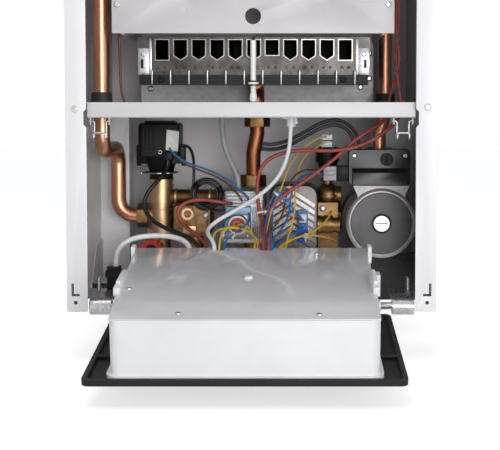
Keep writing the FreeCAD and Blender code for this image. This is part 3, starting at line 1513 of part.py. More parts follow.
# Circuit board on four posts, with a transformer and a row of relays
def circuit_board():
    post_floor = -S.box_base + S.box_wall
    floor = post_floor + S.board_post
    top = floor + S.board_thickness
    way = Vector(0, 1, 0)
    board = Part.makeBox(S.board_half * 2, S.board_thickness, S.board_end - S.board_start,
                         box_at(-S.board_half, S.board_start, floor))
    inset = S.board_post_radius * 2
    posts = [Part.makeCylinder(S.board_post_radius, S.board_post, box_at(x, u, post_floor), way)
             for x in (-S.board_half + inset, S.board_half - inset)
             for u in (S.board_start + inset, S.board_end - inset)]
    transformer = Part.makeBox(S.transformer_width, S.transformer_height, S.transformer_depth,
                               box_at(-S.board_half + inset * 2, S.board_start + inset * 3, top))
    relays = []
    for index in range(int(S.relay_count)):
        relays.append(Part.makeBox(S.relay_width, S.relay_height, S.relay_width * S.relay_length_share,
                                   box_at(index * S.relay_width * S.relay_pitch_share,
                                          S.board_start + inset,
                                          top)))
    return board.multiFuse(posts + [transformer] + relays)


node("circuit_board", swing_open(formed(circuit_board())))


# Knobs and reset button on the fascia
def knob(x):
    way = Vector(0, -1, 0)
    top = -S.fascia_face - S.fit_gap
    base = Part.makeCylinder(S.knob_radius, S.knob_depth * S.knob_base_share, box_at(x, S.knob_reach, top),
                             way)
    grip = Part.makeBox(S.knob_grip * 2, S.knob_depth, S.knob_radius * S.knob_grip_share * 2,
                        box_at(x - S.knob_grip, S.knob_reach - S.knob_radius * S.knob_grip_share,
                               top - S.knob_depth))
    stem = Part.makeCylinder(S.knob_stem_radius, S.fascia_face - S.box_base + S.box_wall + S.fit_gap,
                             box_at(x, S.knob_reach, top), Vector(0, 1, 0))
    return base.multiFuse([grip, stem])


node("heating_knob", swing_open(formed(knob(-S.knob_x))))
node("water_knob", swing_open(formed(knob(S.knob_x))))
button_start = box_at(S.button_x, S.knob_reach, -S.fascia_face - S.button_rise)
node("reset_button", swing_open(formed(Part.makeCylinder(S.button_radius, S.button_length, button_start,
                                                         Vector(0, 1, 0)))))


# Leads and hoses: the diameter and the route of each, in millimetres, as they lie with the box open
LEADS = {
    "mains_cable": [
        (6.0, [(-158, -232, 40), (-158, -232, 52), (-153, -233, 63), (-142, -231, 70.5), (-126, -227, 74),
               (-104, -226, 74.5), (-84, -233, 72), (-73, -249, 67), (-69, -266, 60),
               (-68, -281.3, 53.5)])],
    "motor_cable": [
        (5.0, [(-106, -158.5, 163), (-106, -158.5, 152), (-110, -166, 141), (-119.5, -175, 131),
               (-129, -180, 120),
               (-133, -184, 106), (-125.5, -190, 91), (-106, -200, 80), (-84, -216, 75), (-66, -240, 69),
               (-58, -263, 61), (-55, -281.3, 53.5)])],
    "red_leads": [
        (4.4, [(-28, -182, 108), (-28, -190, 108), (-35, -197, 109.5), (-47, -199.5, 112), (-61, -200, 114),
               (-77, -200, 112.5), (-89, -202, 105), (-90, -204, 94), (-82, -208, 84), (-68, -222, 76),
               (-55, -243, 69), (-48, -264, 62), (-46, -281.5, 53.5)]),
        (4.4, [(171, -203, 226), (171, -203, 213), (162, -205, 201), (149, -206, 191), (133, -207, 181),
               (114, -207, 174), (88, -208, 171), (61.5, -207, 172.5), (36, -206, 170), (16, -206, 162),
               (6.5, -206, 149), (3, -206, 132), (4, -207, 114), (7, -211, 97), (10.5, -225, 85),
               (12, -248, 79),
               (12, -270, 75), (12, -291, 60)]),
        (4.4, [(158, -187, 226), (158, -187, 214), (150, -192, 204), (136, -196, 195), (118, -200, 184),
               (98, -201, 165), (81.5, -203, 152), (65, -205, 140), (48.5, -206, 129), (31, -209, 117),
               (19, -213, 104), (17, -222, 91), (18, -244, 83), (18, -268, 77), (18, -291, 60)])],
    "ignition_lead": [
        (4.6, [(43, -228, 226), (43, -228, 211), (42.5, -227.5, 196), (41.5, -225, 178), (37, -222, 158),
               (27, -220, 139), (10, -218.5, 122.5), (-8, -217, 110.5), (-27, -217, 99.5), (-44, -219, 90),
               (-53, -231, 82), (-51, -250, 78.5), (-45, -268, 74.5), (-40.8, -281, 68.5),
               (-40.5, -291, 60)])],
    "grey_hose": [
        (6.4, [(-41, -150, 226), (-41, -150, 211), (-40.5, -152, 192), (-37, -156, 171), (-28, -161, 152),
               (-20.5, -163, 137), (-20.5, -163, 124)])],
    "dark_hoses": [
        (4.6, [(6.35, -119, 170.8), (14.2, -119, 169.25), (29, -124, 171), (45, -133, 177), (62, -140, 187),
               (79, -141, 197), (97, -139, 202), (112, -138, 196), (120.5, -138, 182), (122, -139, 163),
               (119, -139, 144), (115.9, -139, 131.2), (123, -139, 121.5)]),
        (4.6, [(7.55, -119, 176.8), (15.4, -119, 175.25), (29, -118, 177.5), (45, -124, 183),
               (62, -130, 193),
               (79, -132, 203), (98, -131, 208), (116, -130, 201), (126, -130, 186), (128, -130, 166),
               (124, -130, 147), (119.7, -130, 133.8), (126, -130, 123.6)])],
    "harness_leads": [
        (2.4, [(-99, -162, 168), (-99, -169, 168), (-93, -173, 161), (-82, -174, 153), (-66, -174, 146.5),
               (-49, -176, 141), (-34, -181, 132.5), (-23, -189.5, 122.5), (-17, -193, 116),
               (-15, -190, 111), (-15, -182, 111)]),
        (2.4, [(-103, -162, 173), (-103, -170, 173), (-97, -177, 166), (-84, -180, 157), (-66, -180, 151),
               (-47, -181.5, 144.5), (-29, -185.5, 134), (-15, -191, 122), (-8, -194, 116),
               (-6, -190.5, 110.5), (-6, -182, 110.5)]),
        (2.2, [(81.5, -176, 143), (73, -176, 143), (63, -184, 143), (52.5, -195, 139), (44.5, -200.5, 127),
               (42, -203, 110), (40, -211, 95), (33, -227, 83), (26, -248, 77.5), (22.5, -270, 74),
               (22, -291, 60)]),
        (2.2, [(81.5, -170.5, 147), (73, -170.5, 147), (61, -180, 148), (49, -192, 144), (40, -200, 131),
               (36.5, -203, 114), (34, -212, 99), (27, -230, 88), (20, -250, 84.5), (15, -271, 80.5),
               (15, -291, 64.5)]),
        (2.0, [(86, -141, 180), (86, -149, 180), (79, -157, 176.5), (66, -163, 169), (55, -172, 157),
               (49.5, -186, 141), (47.5, -199, 123), (48, -206, 107), (46, -214, 93), (42, -228, 80),
               (38, -246, 70),
               (36.5, -265, 61), (36, -282, 53.5)]),
        (2.4, [(-20, -204, 83), (-20, -212, 83), (-24, -222, 84.5), (-30, -234, 84), (-35, -251, 79.5),
               (-36, -272, 75), (-36, -291, 60)]),
        (2.4, [(-8, -186, 99), (-8, -194, 99), (-5, -204, 96), (-5, -216, 90), (-13, -231, 84),
               (-24, -249, 78),
               (-31.5, -270, 72.5), (-32, -291, 59)]),
        (2.2, [(92, -155, 96), (92, -163, 96), (89, -174, 91.5), (80, -189, 82), (67, -204, 75),
               (53, -217, 72),
               (41, -232, 69), (33, -249, 64), (30, -266, 58.5), (30, -282.5, 52)]),
        (2.2, [(57, -190, 80.5), (57, -198, 80.5), (52, -206, 77), (42, -218, 72), (30, -234, 68),
               (23, -250, 64),
               (22, -266, 58.5), (22.5, -282.5, 52)]),
        (2.2, [(-30, -186, 92), (-30, -194, 92), (-35, -206, 88), (-39.5, -222, 83.5), (-41, -240, 78),
               (-40, -257, 73), (-37.5, -274, 68.5), (-36.8, -291, 56.5)])],
}


def lead(name, diameter, route):
    shape, length, radii = tube([Vector(*point) for point in route], diameter / 2)
    tight = min(radii) / diameter
    share = shape.Volume / (math.pi * diameter ** 2 / 4 * length)
    print(f"{name}: {length:.0f} mm long, radii {min(radii):.1f} to {max(radii):.1f} mm, "
          f"tightest {tight:.1f} diameters, volume share {share:.4f}")
    return formed(shape)


for lead_name, runs in LEADS.items():
    pieces = [lead(lead_name, diameter, route) for diameter, route in runs]
    node(lead_name, pieces[0] if len(pieces) == 1 else together(*pieces))

# Coil of spare black lead that hangs in front of the manifold tube, in one unbroken tube
COIL_DIAMETER = 3.4
COIL_RADIUS = 16.5
COIL_TURNS = 3
COIL_POINTS = 12
COIL_PITCH = 4.4
COIL_EXTRA = 3
COIL_CENTRE = (-57.5, -168.0, 118.0)
COIL_START = [(-92, -150, 176), (-83, -150, 176), (-77, -155, 168), (-74.5, -161, 156), (-74, -166, 143),
              (-74.5, -167.5, 130)]
COIL_END = [(-50, -186, 100.5), (-43, -193, 100.2), (-36, -196.5, 100), (-31, -194, 100), (-31, -186, 100)]


def coil_route():
    # A steady helix about the Y axis, entered going down on its left side and left at the bottom
    x, y, z = COIL_CENTRE
    points = list(COIL_START)
    for index in range(COIL_TURNS * COIL_POINTS + COIL_EXTRA + 1):
        angle = math.pi + index * 2 * math.pi / COIL_POINTS
        points.append((x + COIL_RADIUS * math.cos(angle), y - COIL_PITCH * index / COIL_POINTS,
                       z + COIL_RADIUS * math.sin(angle)))
    return points + COIL_END


def least_self_gap(points, diameter):
    # Distance between parts of the route that are not neighbours along it
    reach = 4
    gaps = [(a - b).Length for index, a in enumerate(points) for b in points[index + reach:]]
    return min(gaps) - diameter


coil_points = [Vector(*point) for point in coil_route()]
node("coil_lead", lead("coil_lead", COIL_DIAMETER, coil_route()))
print(f"coil_lead: least gap to itself {least_self_gap(coil_points, COIL_DIAMETER):.2f} mm")

# Check every object, then write one file for each piece
doc.recompute()
for thing in doc.Objects:
    if "Invalid" in thing.State or "Error" in thing.State:
        raise RuntimeError(f"{thing.Label} failed: {thing.State}")
os.makedirs("parts", exist_ok=True)
for thing in NODES:
    if thing.Shape.isNull() or not thing.Shape.isValid():
        raise RuntimeError(f"{thing.Label} has no valid shape")
for thing in NODES:
    thing.Shape.exportStep(f"parts/{thing.Label}.step")
print(len(NODES), "pieces written")
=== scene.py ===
import json
import math

import bmesh
import bpy
from mathutils import Matrix, Vector


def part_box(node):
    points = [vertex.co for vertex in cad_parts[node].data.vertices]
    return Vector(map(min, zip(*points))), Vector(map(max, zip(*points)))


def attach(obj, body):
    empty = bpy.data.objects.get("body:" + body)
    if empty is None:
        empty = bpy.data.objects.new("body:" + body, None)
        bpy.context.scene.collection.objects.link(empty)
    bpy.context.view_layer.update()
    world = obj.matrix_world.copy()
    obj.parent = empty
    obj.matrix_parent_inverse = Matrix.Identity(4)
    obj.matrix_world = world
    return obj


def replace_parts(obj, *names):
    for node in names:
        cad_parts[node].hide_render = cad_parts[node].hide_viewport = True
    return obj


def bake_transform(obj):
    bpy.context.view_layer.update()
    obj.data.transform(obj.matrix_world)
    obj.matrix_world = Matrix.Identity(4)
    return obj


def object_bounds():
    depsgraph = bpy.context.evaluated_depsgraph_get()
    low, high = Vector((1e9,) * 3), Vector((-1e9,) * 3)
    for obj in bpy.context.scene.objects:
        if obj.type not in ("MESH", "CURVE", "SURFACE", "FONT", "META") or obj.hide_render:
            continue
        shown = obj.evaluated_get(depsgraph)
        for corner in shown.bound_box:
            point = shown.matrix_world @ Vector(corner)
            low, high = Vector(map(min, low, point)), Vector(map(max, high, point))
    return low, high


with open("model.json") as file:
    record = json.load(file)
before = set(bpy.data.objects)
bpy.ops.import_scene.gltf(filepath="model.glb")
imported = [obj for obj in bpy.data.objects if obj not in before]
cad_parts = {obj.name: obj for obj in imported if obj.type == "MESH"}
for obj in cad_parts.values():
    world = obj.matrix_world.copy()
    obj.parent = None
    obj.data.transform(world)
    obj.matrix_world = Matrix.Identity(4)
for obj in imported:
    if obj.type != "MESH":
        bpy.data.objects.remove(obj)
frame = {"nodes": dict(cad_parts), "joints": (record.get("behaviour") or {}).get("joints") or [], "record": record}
cad_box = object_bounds()
MM = 0.001


# Materials: colours are sRGB hex, pattern sizes are real millimetres on Object coordinates
def linear(code):
    parts = [int(code[at:at + 2], 16) / 255 for at in (1, 3, 5)]
    return tuple(c / 12.92 if c <= 0.04045 else ((c + 0.055) / 1.055) ** 2.4 for c in parts) + (1.0,)


def per_mm(size):
    return 1 / (size * MM)


def add(tree, kind, settings, links=()):
    # One node with its properties, input values and incoming links
    made = tree.nodes.new(kind)
    for name, value in settings.items():
        if isinstance(name, str) and hasattr(made, name):
            setattr(made, name, value)
        else:
            made.inputs[name].default_value = value
    for name, source in links:
        tree.links.new(source, made.inputs[name])
    return made


# Noise levels at which a base shows its dark and its light colour, and the height of its relief
DARK_LEVEL, LIGHT_LEVEL = 0.3, 0.7
RELIEF_HEIGHT = 0.2


def surface(name, dark, light, metallic, rough, blotch, grain, relief, stretch=(1, 1, 1), **constants):
    # A base that drifts between two colours, with a finer grain in gloss and relief
    material = bpy.data.materials.new(name)
    material.use_nodes = True
    tree = material.node_tree
    shader = tree.nodes["Principled BSDF"]
    shader.inputs["Metallic"].default_value = metallic
    for socket, value in constants.items():
        shader.inputs[socket.replace("_", " ")].default_value = value
    place = add(tree, "ShaderNodeTexCoord", {})
    drawn = add(tree, "ShaderNodeMapping", {"Scale": stretch}, [("Vector", place.outputs["Object"])])
    broad = add(tree, "ShaderNodeTexNoise", {"Scale": per_mm(blotch), "Detail": 4.0, "Roughness": 0.6},
                [("Vector", drawn.outputs["Vector"])])
    ramp = add(tree, "ShaderNodeValToRGB", {}, [("Fac", broad.outputs["Fac"])])
    ramp.color_ramp.elements[0].position = DARK_LEVEL
    ramp.color_ramp.elements[0].color = linear(dark)
    ramp.color_ramp.elements[1].position = LIGHT_LEVEL
    ramp.color_ramp.elements[1].color = linear(light)
    fine = add(tree, "ShaderNodeTexNoise", {"Scale": per_mm(grain), "Detail": 3.0},
               [("Vector", drawn.outputs["Vector"])])
    gloss = add(tree, "ShaderNodeMapRange", {"To Min": rough[0], "To Max": rough[1]},
                [("Value", fine.outputs["Fac"])])
    bump = add(tree, "ShaderNodeBump", {"Strength": relief, "Distance": RELIEF_HEIGHT * MM},
               [("Height", fine.outputs["Fac"])])
    for socket, source in (("Base Color", ramp.outputs["Color"]), ("Roughness", gloss.outputs["Result"]),
                           ("Normal", bump.outputs["Normal"])):
        tree.links.new(source, shader.inputs[socket])
    return material


def galvanised(name, dark, light, metallic, crystal, rough):
    # Hot-dip zinc: crystals of differing grey and gloss
    material = surface(name, dark, light, metallic, rough, crystal * 4, crystal / 3, 0.06)
    tree = material.node_tree
    shader = tree.nodes["Principled BSDF"]
    place = add(tree, "ShaderNodeTexCoord", {})
    cells = add(tree, "ShaderNodeTexVoronoi", {"Scale": per_mm(crystal)},
                [("Vector", place.outputs["Object"])])
    grey = add(tree, "ShaderNodeSeparateColor", {}, [("Color", cells.outputs["Color"])])
    ramp = add(tree, "ShaderNodeValToRGB", {}, [("Fac", grey.outputs["Red"])])
    ramp.color_ramp.elements[0].color = linear(dark)
    ramp.color_ramp.elements[1].color = linear(light)
    gloss = add(tree, "ShaderNodeMapRange", {"To Min": rough[0], "To Max": rough[1]},
                [("Value", grey.outputs["Green"])])
    tree.links.new(ramp.outputs["Color"], shader.inputs["Base Color"])
    tree.links.new(gloss.outputs["Result"], shader.inputs["Roughness"])
    return material


M = {
    # Powder-coated sheet: white, with the faint orange peel of sprayed enamel
    "enamel": surface("enamel_white", "#E9E8EA", "#ECEBED", 0.0, (0.3, 0.38), 60, 1.6, 0.03),
    # The same coat on the shelf, a little greyer
    "shelf_enamel": surface("enamel_grey", "#D1D0D2", "#D7D6D8", 0.0, (0.32, 0.42), 50, 1.6, 0.03),
    # Thin grey-white primer on the back sheet
    "primer": surface("primer_pale", "#E8E3E6", "#ECE7EA", 0.0, (0.4, 0.5), 90, 1.4, 0.03),
    # Heat-proof paint on the chamber panel: pale blue-grey and smooth
    "heat_paint": surface("heat_paint_grey", "#C5C2C5", "#CECBCE", 0.0, (0.32, 0.42), 80, 1.2, 0.03),
    # Galvanised sheet, with the soft spangle of zinc crystals
    "galvanised": galvanised("galvanised_sheet", "#D8D3D6", "#E5E1E4", 0.1, 5.0, (0.42, 0.54)),
    # Bright zinc plating on pressed brackets
    "zinc": galvanised("zinc_plate", "#A0A0A3", "#BABABD", 0.9, 2.5, (0.26, 0.36)),
    # Burner steel, heated until dark; in the bracket slots the same dark is painted shade
    "burner_steel_and_slot_shade": surface("burner_steel_and_slot_shade", "#0E0E10", "#19191B", 0.6, (0.42, 0.6), 12, 0.8, 0.12),
    # Stainless burner front, dulled and tinted by heat
    "heated_steel": surface("heated_stainless", "#35312F", "#565150", 1.0, (0.28, 0.42), 16, 0.7, 0.08),
    # Drawn copper tube, polished by handling, with darker heat stains
    "copper": surface("drawn_copper", "#BC8468", "#DCA788", 1.0, (0.28, 0.42), 26, 1.0, 0.04,
                      stretch=(1, 1, 0.3)),
    # Copper that has gone brown
    "aged_copper": surface("aged_copper", "#74462F", "#A46A4C", 1.0, (0.34, 0.5), 12, 1.0, 0.05,
                           stretch=(1, 1, 0.4)),
    # Sand-cast brass, satin golden brown, and an older darker cast
    "cast_brass": surface("cast_brass", "#BA9A74", "#DABC94", 1.0, (0.34, 0.5), 9, 0.7, 0.18),
    "dark_brass": surface("dark_cast_brass", "#745A3E", "#927350", 1.0, (0.36, 0.52), 9, 0.7, 0.2),
    # Machined brass on nuts, browned
    "turned_brass": surface("turned_brass", "#75583A", "#96764E", 1.0, (0.36, 0.5), 8, 0.5, 0.05),
    # Die-cast aluminium, fine skin
    "cast_aluminium": surface("cast_aluminium", "#8E9194", "#A5A8AA", 1.0, (0.36, 0.5), 14, 0.6, 0.1),
    # Dull pump housing
    "pump_casting": surface("pump_casting", "#9E9B99", "#B5B2B0", 0.7, (0.42, 0.54), 14, 0.6, 0.12),
    # Dark anodised foil on the pump face
    "dark_foil": surface("dark_anodised_foil", "#444244", "#504E50", 0.3, (0.36, 0.46), 30, 0.4, 0.03),
    # Brazed stainless plates, lightly streaked; laid over the plate stack's ribs it is painted highlight
    "stainless": surface("brazed_stainless", "#7E7B79", "#A8A5A2", 1.0, (0.22, 0.34), 10, 0.6, 0.05,
                         stretch=(0.2, 1, 1)),
    # A darker copy of it on the plate stack: painted shade between the ribs
    "stainless_painted_shade": surface("shaded_stainless", "#4E4C4B", "#646261", 0.9, (0.34, 0.46), 10, 0.6, 0.05),
    # Nickel-plated screws
    "nickel": surface("nickel_plate", "#C6C6C4", "#CFCFCC", 1.0, (0.14, 0.24), 6, 0.5, 0.02),
    # Grey iron under dark paint
    "iron_paint": surface("iron_paint", "#1C1D20", "#292B2F", 0.0, (0.35, 0.55), 10, 0.9, 0.2),
    # Black moulded nylon and ABS
    "black_plastic": surface("black_nylon", "#09090B", "#101113", 0.0, (0.36, 0.48), 20, 0.5, 0.08,
                             Specular_IOR_Level=0.2),
    "gloss_black": surface("glossy_black_nylon", "#101014", "#19191E", 0.0, (0.24, 0.36), 20, 0.5, 0.05,
                           Specular_IOR_Level=0.35),
    "black_fascia": surface("black_abs", "#08080A", "#0E0E10", 0.0, (0.46, 0.58), 40, 0.6, 0.1,
                            Specular_IOR_Level=0.3),
    # White ABS of the control box, satin
    "white_plastic": surface("white_abs", "#E0E0E2", "#E9E9EB", 0.0, (0.26, 0.34), 60, 0.8, 0.02),
    # Glossy pale grey lid
    "lid_plastic": surface("glossy_lid_abs", "#C9C8CD", "#D4D3D8", 0.0, (0.12, 0.18), 60, 1.0, 0.01,
                           Coat_Weight=0.4, Coat_Roughness=0.06),
    # Moulded nylon in colours
    "red_plastic": surface("red_nylon", "#A81418", "#C41C1E", 0.0, (0.3, 0.42), 12, 0.5, 0.06),
    "blue_plastic": surface("blue_nylon", "#1B4FA0", "#2A66BE", 0.0, (0.3, 0.42), 12, 0.5, 0.06),
    # Pale blue moulding round the coil
    "pale_blue": surface("pale_blue_nylon", "#7FA6C4", "#94B8D2", 0.0, (0.3, 0.42), 12, 0.5, 0.06),
    "grey_plastic": surface("grey_nylon", "#8D9093", "#A3A6A8", 0.0, (0.34, 0.46), 12, 0.5, 0.06),
    # Bare paper tag
    "paper": surface("bare_paper", "#D9DAD6", "#E6E6E2", 0.0, (0.7, 0.85), 6, 0.3, 0.05),
    # Glazed porcelain of the electrode
    "porcelain": surface("glazed_porcelain", "#E9E6DE", "#F3F1EB", 0.0, (0.08, 0.14), 8, 0.6, 0.02),
    # Fibreglass circuit board
    "board": surface("board_laminate", "#1A5A34", "#226B40", 0.0, (0.3, 0.4), 10, 0.6, 0.08),
    # Stove enamel on the expansion vessel
    "red_enamel": surface("red_stove_enamel", "#8E1512", "#A61C17", 0.0, (0.3, 0.4), 40, 1.4, 0.05),
    # Moulded rubber, and the dark of the painted shade in the pump screw's slit and below the pump
    "rubber_and_painted_shade": surface("moulded_rubber", "#1A1A1B", "#272728", 0.0, (0.55, 0.7), 10, 0.6, 0.12),
    # Silicone and vinyl lead sleeves
    "red_sleeve": surface("red_silicone_sleeve", "#8E3A33", "#AE5048", 0.0, (0.4, 0.52), 9, 0.5, 0.06),
    "white_sleeve": surface("white_silicone_sleeve", "#EFEFEF", "#F8F8F8", 0.0, (0.36, 0.48), 9, 0.5, 0.05),
    "black_sleeve": surface("black_vinyl_sleeve", "#131315", "#202022", 0.0, (0.34, 0.46), 9, 0.5, 0.05),
    "grey_sleeve": surface("grey_vinyl_hose", "#9A9DA0", "#B0B3B5", 0.0, (0.36, 0.48), 9, 0.5, 0.05),
    "slate_sleeve": surface("slate_vinyl_hose", "#353537", "#454548", 0.0, (0.36, 0.48), 9, 0.5, 0.05),
    "blue_sleeve": surface("blue_vinyl_sleeve", "#215F9F", "#3179BA", 0.0, (0.34, 0.46), 9, 0.5, 0.05),
    "brown_sleeve": surface("brown_vinyl_sleeve", "#5B3523", "#74452F", 0.0, (0.34, 0.46), 9, 0.5, 0.05),
    "yellow_sleeve": surface("yellow_vinyl_sleeve", "#DDAF2C", "#F0C640", 0.0, (0.34, 0.46), 9, 0.5, 0.05),
}

# Finish of each CAD node, and the rounding in millimetres of the copy that is shown in its place, if any
NODE_LOOKS = {
    "left_side_panel": ("enamel", 0.4), "right_side_panel": ("enamel", 0.4), "back_panel": ("primer", 0),
    "top_panel": ("enamel", 0), "chamber_shelf": ("shelf_enamel", 0.4),
    "combustion_chamber": ("galvanised", 0), "chamber_front_panel": ("heat_paint", 0.4),
    "burner_plate": ("heated_steel", 0), "burner_blades": ("burner_steel_and_slot_shade", 0),
    "burner_rail": ("burner_steel_and_slot_shade", 0), "electrode": ("porcelain", 0), "heat_exchanger": ("copper", 0),
    "flue_hood": ("galvanised", 0.5), "fan_housing": ("cast_aluminium", 0.5), "fan_impeller": ("zinc", 0),
    "flue_outlet": ("cast_aluminium", 0), "expansion_vessel": ("red_enamel", 0),
    "pressure_switch": ("grey_plastic", 0), "flow_pipe": ("copper", 0), "return_pipe": ("copper", 0),
    "gas_pipe": ("aged_copper", 0), "pipe_nuts": ("turned_brass", 0.5), "pipe_grommets": ("rubber_and_painted_shade", 0),
    "diverter_body": ("cast_brass", 0.4), "diverter_motor": ("black_plastic", 0.7),
    "brass_manifold": ("dark_brass", 0.7), "relief_valve": ("cast_brass", 0),
    "relief_cap": ("red_plastic", 0.6), "gas_valve": ("cast_aluminium", 0.6),
    # The plate stack's darker stainless is painted shade between its ribs
    "plate_exchanger": ("stainless_painted_shade", 0.4), "flow_sensor": ("blue_plastic", 0.5),
    "return_manifold": ("dark_brass", 0.6), "air_vent": ("black_plastic", 0.4),
    "pump_body": ("iron_paint", 0.6), "pump_motor": ("pump_casting", 0.6),
    "pump_terminal_box": ("gloss_black", 0.8), "lead_connectors": ("grey_plastic", 0.6),
    "pump_vent_screw": ("nickel", 0), "pipe_tails": ("turned_brass", 0.4),
    "pipe_bracket": ("galvanised", 0), "hinge_brackets": ("zinc", 0.3),
    "cable_clamp": ("black_plastic", 0.5), "left_latch": ("zinc", 0), "right_latch": ("zinc", 0),
    "box_body": ("white_plastic", 0.7), "box_lid": ("lid_plastic", 0.4), "fascia": ("black_fascia", 0.8),
    "circuit_board": ("board", 0), "heating_knob": ("black_plastic", 0.6),
    "water_knob": ("black_plastic", 0.6), "reset_button": ("grey_plastic", 0),
}

# Mesh building: places and sizes are millimetres in the frame of the CAD
RIGHT = Vector((1, 0, 0))
FRONT = Vector((0, -1, 0))
UP = Vector((0, 0, 1))
BODY_OF = {node: body for body, nodes in frame["record"]["behaviour"]["bodies"].items() for node in nodes}
# Millimetres within which points are merged
MERGED = 0.005
MERGED_IN_CAD = 0.01
# Degrees within which faces lie in one plane, and past which an edge is sharp
SAME_PLANE = 1
SHARP = 32
SHARP_ON_COPY = 24


def shown(name, mesh, finish, body, bends):
    # An object that moves with a body, or one that runs from the boiler to the control box, left unparented with
    # its place baked in
    mesh.materials.clear()
    mesh.materials.append(M[finish])
    mesh.shade_smooth()
    thing = bpy.data.objects.new(name, mesh)
    bpy.context.collection.objects.link(thing)
    if bends:
        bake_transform(thing)
    else:
        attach(thing, body)
    return thing


def piece(name, bm, finish, carrier, bends=False, crease=SHARP):
    # Turns a mesh into an object that moves with the node that carries it
    bmesh.ops.remove_doubles(bm, verts=bm.verts, dist=MERGED * MM)
    bmesh.ops.recalc_face_normals(bm, faces=bm.faces)
    mesh = bpy.data.meshes.new(name)
    bm.to_mesh(mesh)
    bm.free()
    thing = shown(name, mesh, finish, BODY_OF[carrier], bends)
    mesh.set_sharp_from_angle(angle=math.radians(crease))
    return thing


def block(bm, low, high, edge, turn=Matrix()):
    # A box between two corners with rounded edges; turn takes its corners into the frame
    low = Vector(low) * MM
    high = Vector(high) * MM
    scale = Matrix.Diagonal((*(high - low), 1))
    made = bmesh.ops.create_cube(bm, size=1.0, matrix=turn @ Matrix.Translation((low + high) / 2) @ scale)
    edges = {side for vert in made["verts"] for side in vert.link_edges}
    bmesh.ops.bevel(bm, geom=list(edges), offset=edge * MM, offset_type="OFFSET", segments=2, profile=0.5,
                    affect="EDGES", material=-1)


def turned(bm, at, way, profile, steps=28):
    # A lathe form: the profile lists radius and height along the way
    side = way.orthogonal().normalized()
    at = Vector(at)
    verts = [bm.verts.new((at + side * radius + way * height) * MM) for radius, height in profile]
    edges = [bm.edges.new(pair) for pair in zip(verts, verts[1:])]
    bmesh.ops.spin(bm, geom=verts + edges, cent=at * MM, axis=way, angle=2 * math.pi, steps=steps,
                   use_merge=True)


def ring(bm, at, way, inner, outer, height):
    # A washer whose upper edges are bevelled
    soft = min(outer - inner, height) / 4
    turned(bm, at, way, [(inner, 0), (outer, 0), (outer, height - soft), (outer - soft, height),
                         (inner + soft, height), (inner, height - soft), (inner, 0)])


def sheet(bm, y, outline):
    # A flat face that looks forward, with corners at x and z
    face = bm.faces.new([bm.verts.new(Vector((x, y, z)) * MM) for x, z in outline])
    face.normal_update()
    return face


# Pan head with a well, and four corners that leave the well as a cross, in shares of the head's radius
HEAD_SHARES = [(1, 0), (1, 0.15), (0.85, 0.4), (0.58, 0.5), (0.5, 0.46), (0.46, 0.15), (0, 0.15)]
CORNER_SHARE = 0.28
CORNER_SIDE_SHARE = 0.25
CORNER_RISE_SHARE = 0.3


def screw(bm, at, way, radius):
    turned(bm, at, way, [(radius * out, radius * up) for out, up in HEAD_SHARES], steps=20)
    side = way.orthogonal().normalized()
    other = way.cross(side)
    turn = Matrix((side, other, way)).transposed().to_4x4()
    for a in (-1, 1):
        for b in (-1, 1):
            out = (side * a + other * b) * CORNER_SIDE_SHARE + way * CORNER_RISE_SHARE
            place = Matrix.Translation((Vector(at) + out * radius) * MM)
            bmesh.ops.create_cube(bm, size=radius * CORNER_SHARE * MM, matrix=place @ turn)


def softened(node, finish, width):
    # A copy of a CAD node with its sharp edges rounded, shown in its place; flat faces keep a flat shade
    bm = bmesh.new()
    bm.from_mesh(frame["nodes"][node].data)
    bmesh.ops.remove_doubles(bm, verts=bm.verts, dist=MERGED_IN_CAD * MM)
    bmesh.ops.dissolve_limit(bm, angle_limit=math.radians(SAME_PLANE), verts=bm.verts, edges=bm.edges)
    sharp = [edge for edge in bm.edges if edge.is_manifold and edge.calc_face_angle() > math.radians(SHARP)]
    bmesh.ops.bevel(bm, geom=sharp, offset=width * MM, offset_type="OFFSET", segments=2, profile=0.5,
                    affect="EDGES", clamp_overlap=True, material=-1)
    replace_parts(piece(node + "_edged", bm, finish, node, crease=SHARP_ON_COPY), node)


for node, (finish, width) in NODE_LOOKS.items():
    data = frame["nodes"][node].data
    data.materials.clear()
    data.materials.append(M[finish])
    if width:
        softened(node, finish, width)


# Helpers for the added pieces
def build(name, finish, carrier, blocks=(), rings=(), lathes=(), turn=Matrix()):
    # One piece from rows of what block, ring and turned take
    bm = bmesh.new()
    for row in blocks:
        block(bm, *row, turn)
    for row in rings:
        ring(bm, *row)
    for row in lathes:
        turned(bm, *row)
    piece(name, bm, finish, carrier)


def screws(name, finish, carrier, places, radius, way=FRONT):
    bm = bmesh.new()
    for place in places:
        screw(bm, place, way, radius)
    piece(name, bm, finish, carrier)


def both_sides(rows):
    # Rows of blocks on the right, and the same mirrored to the left
    return rows + [((-high[0], *low[1:]), (-low[0], *high[1:]), edge) for low, high, edge in rows]


def corners(node):
    return [Vector(corner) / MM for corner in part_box(node)]


# Roundings that many thin pieces share
FINE_EDGE = 0.3
THIN_EDGE = 0.4
CLIP_EDGE = 0.5

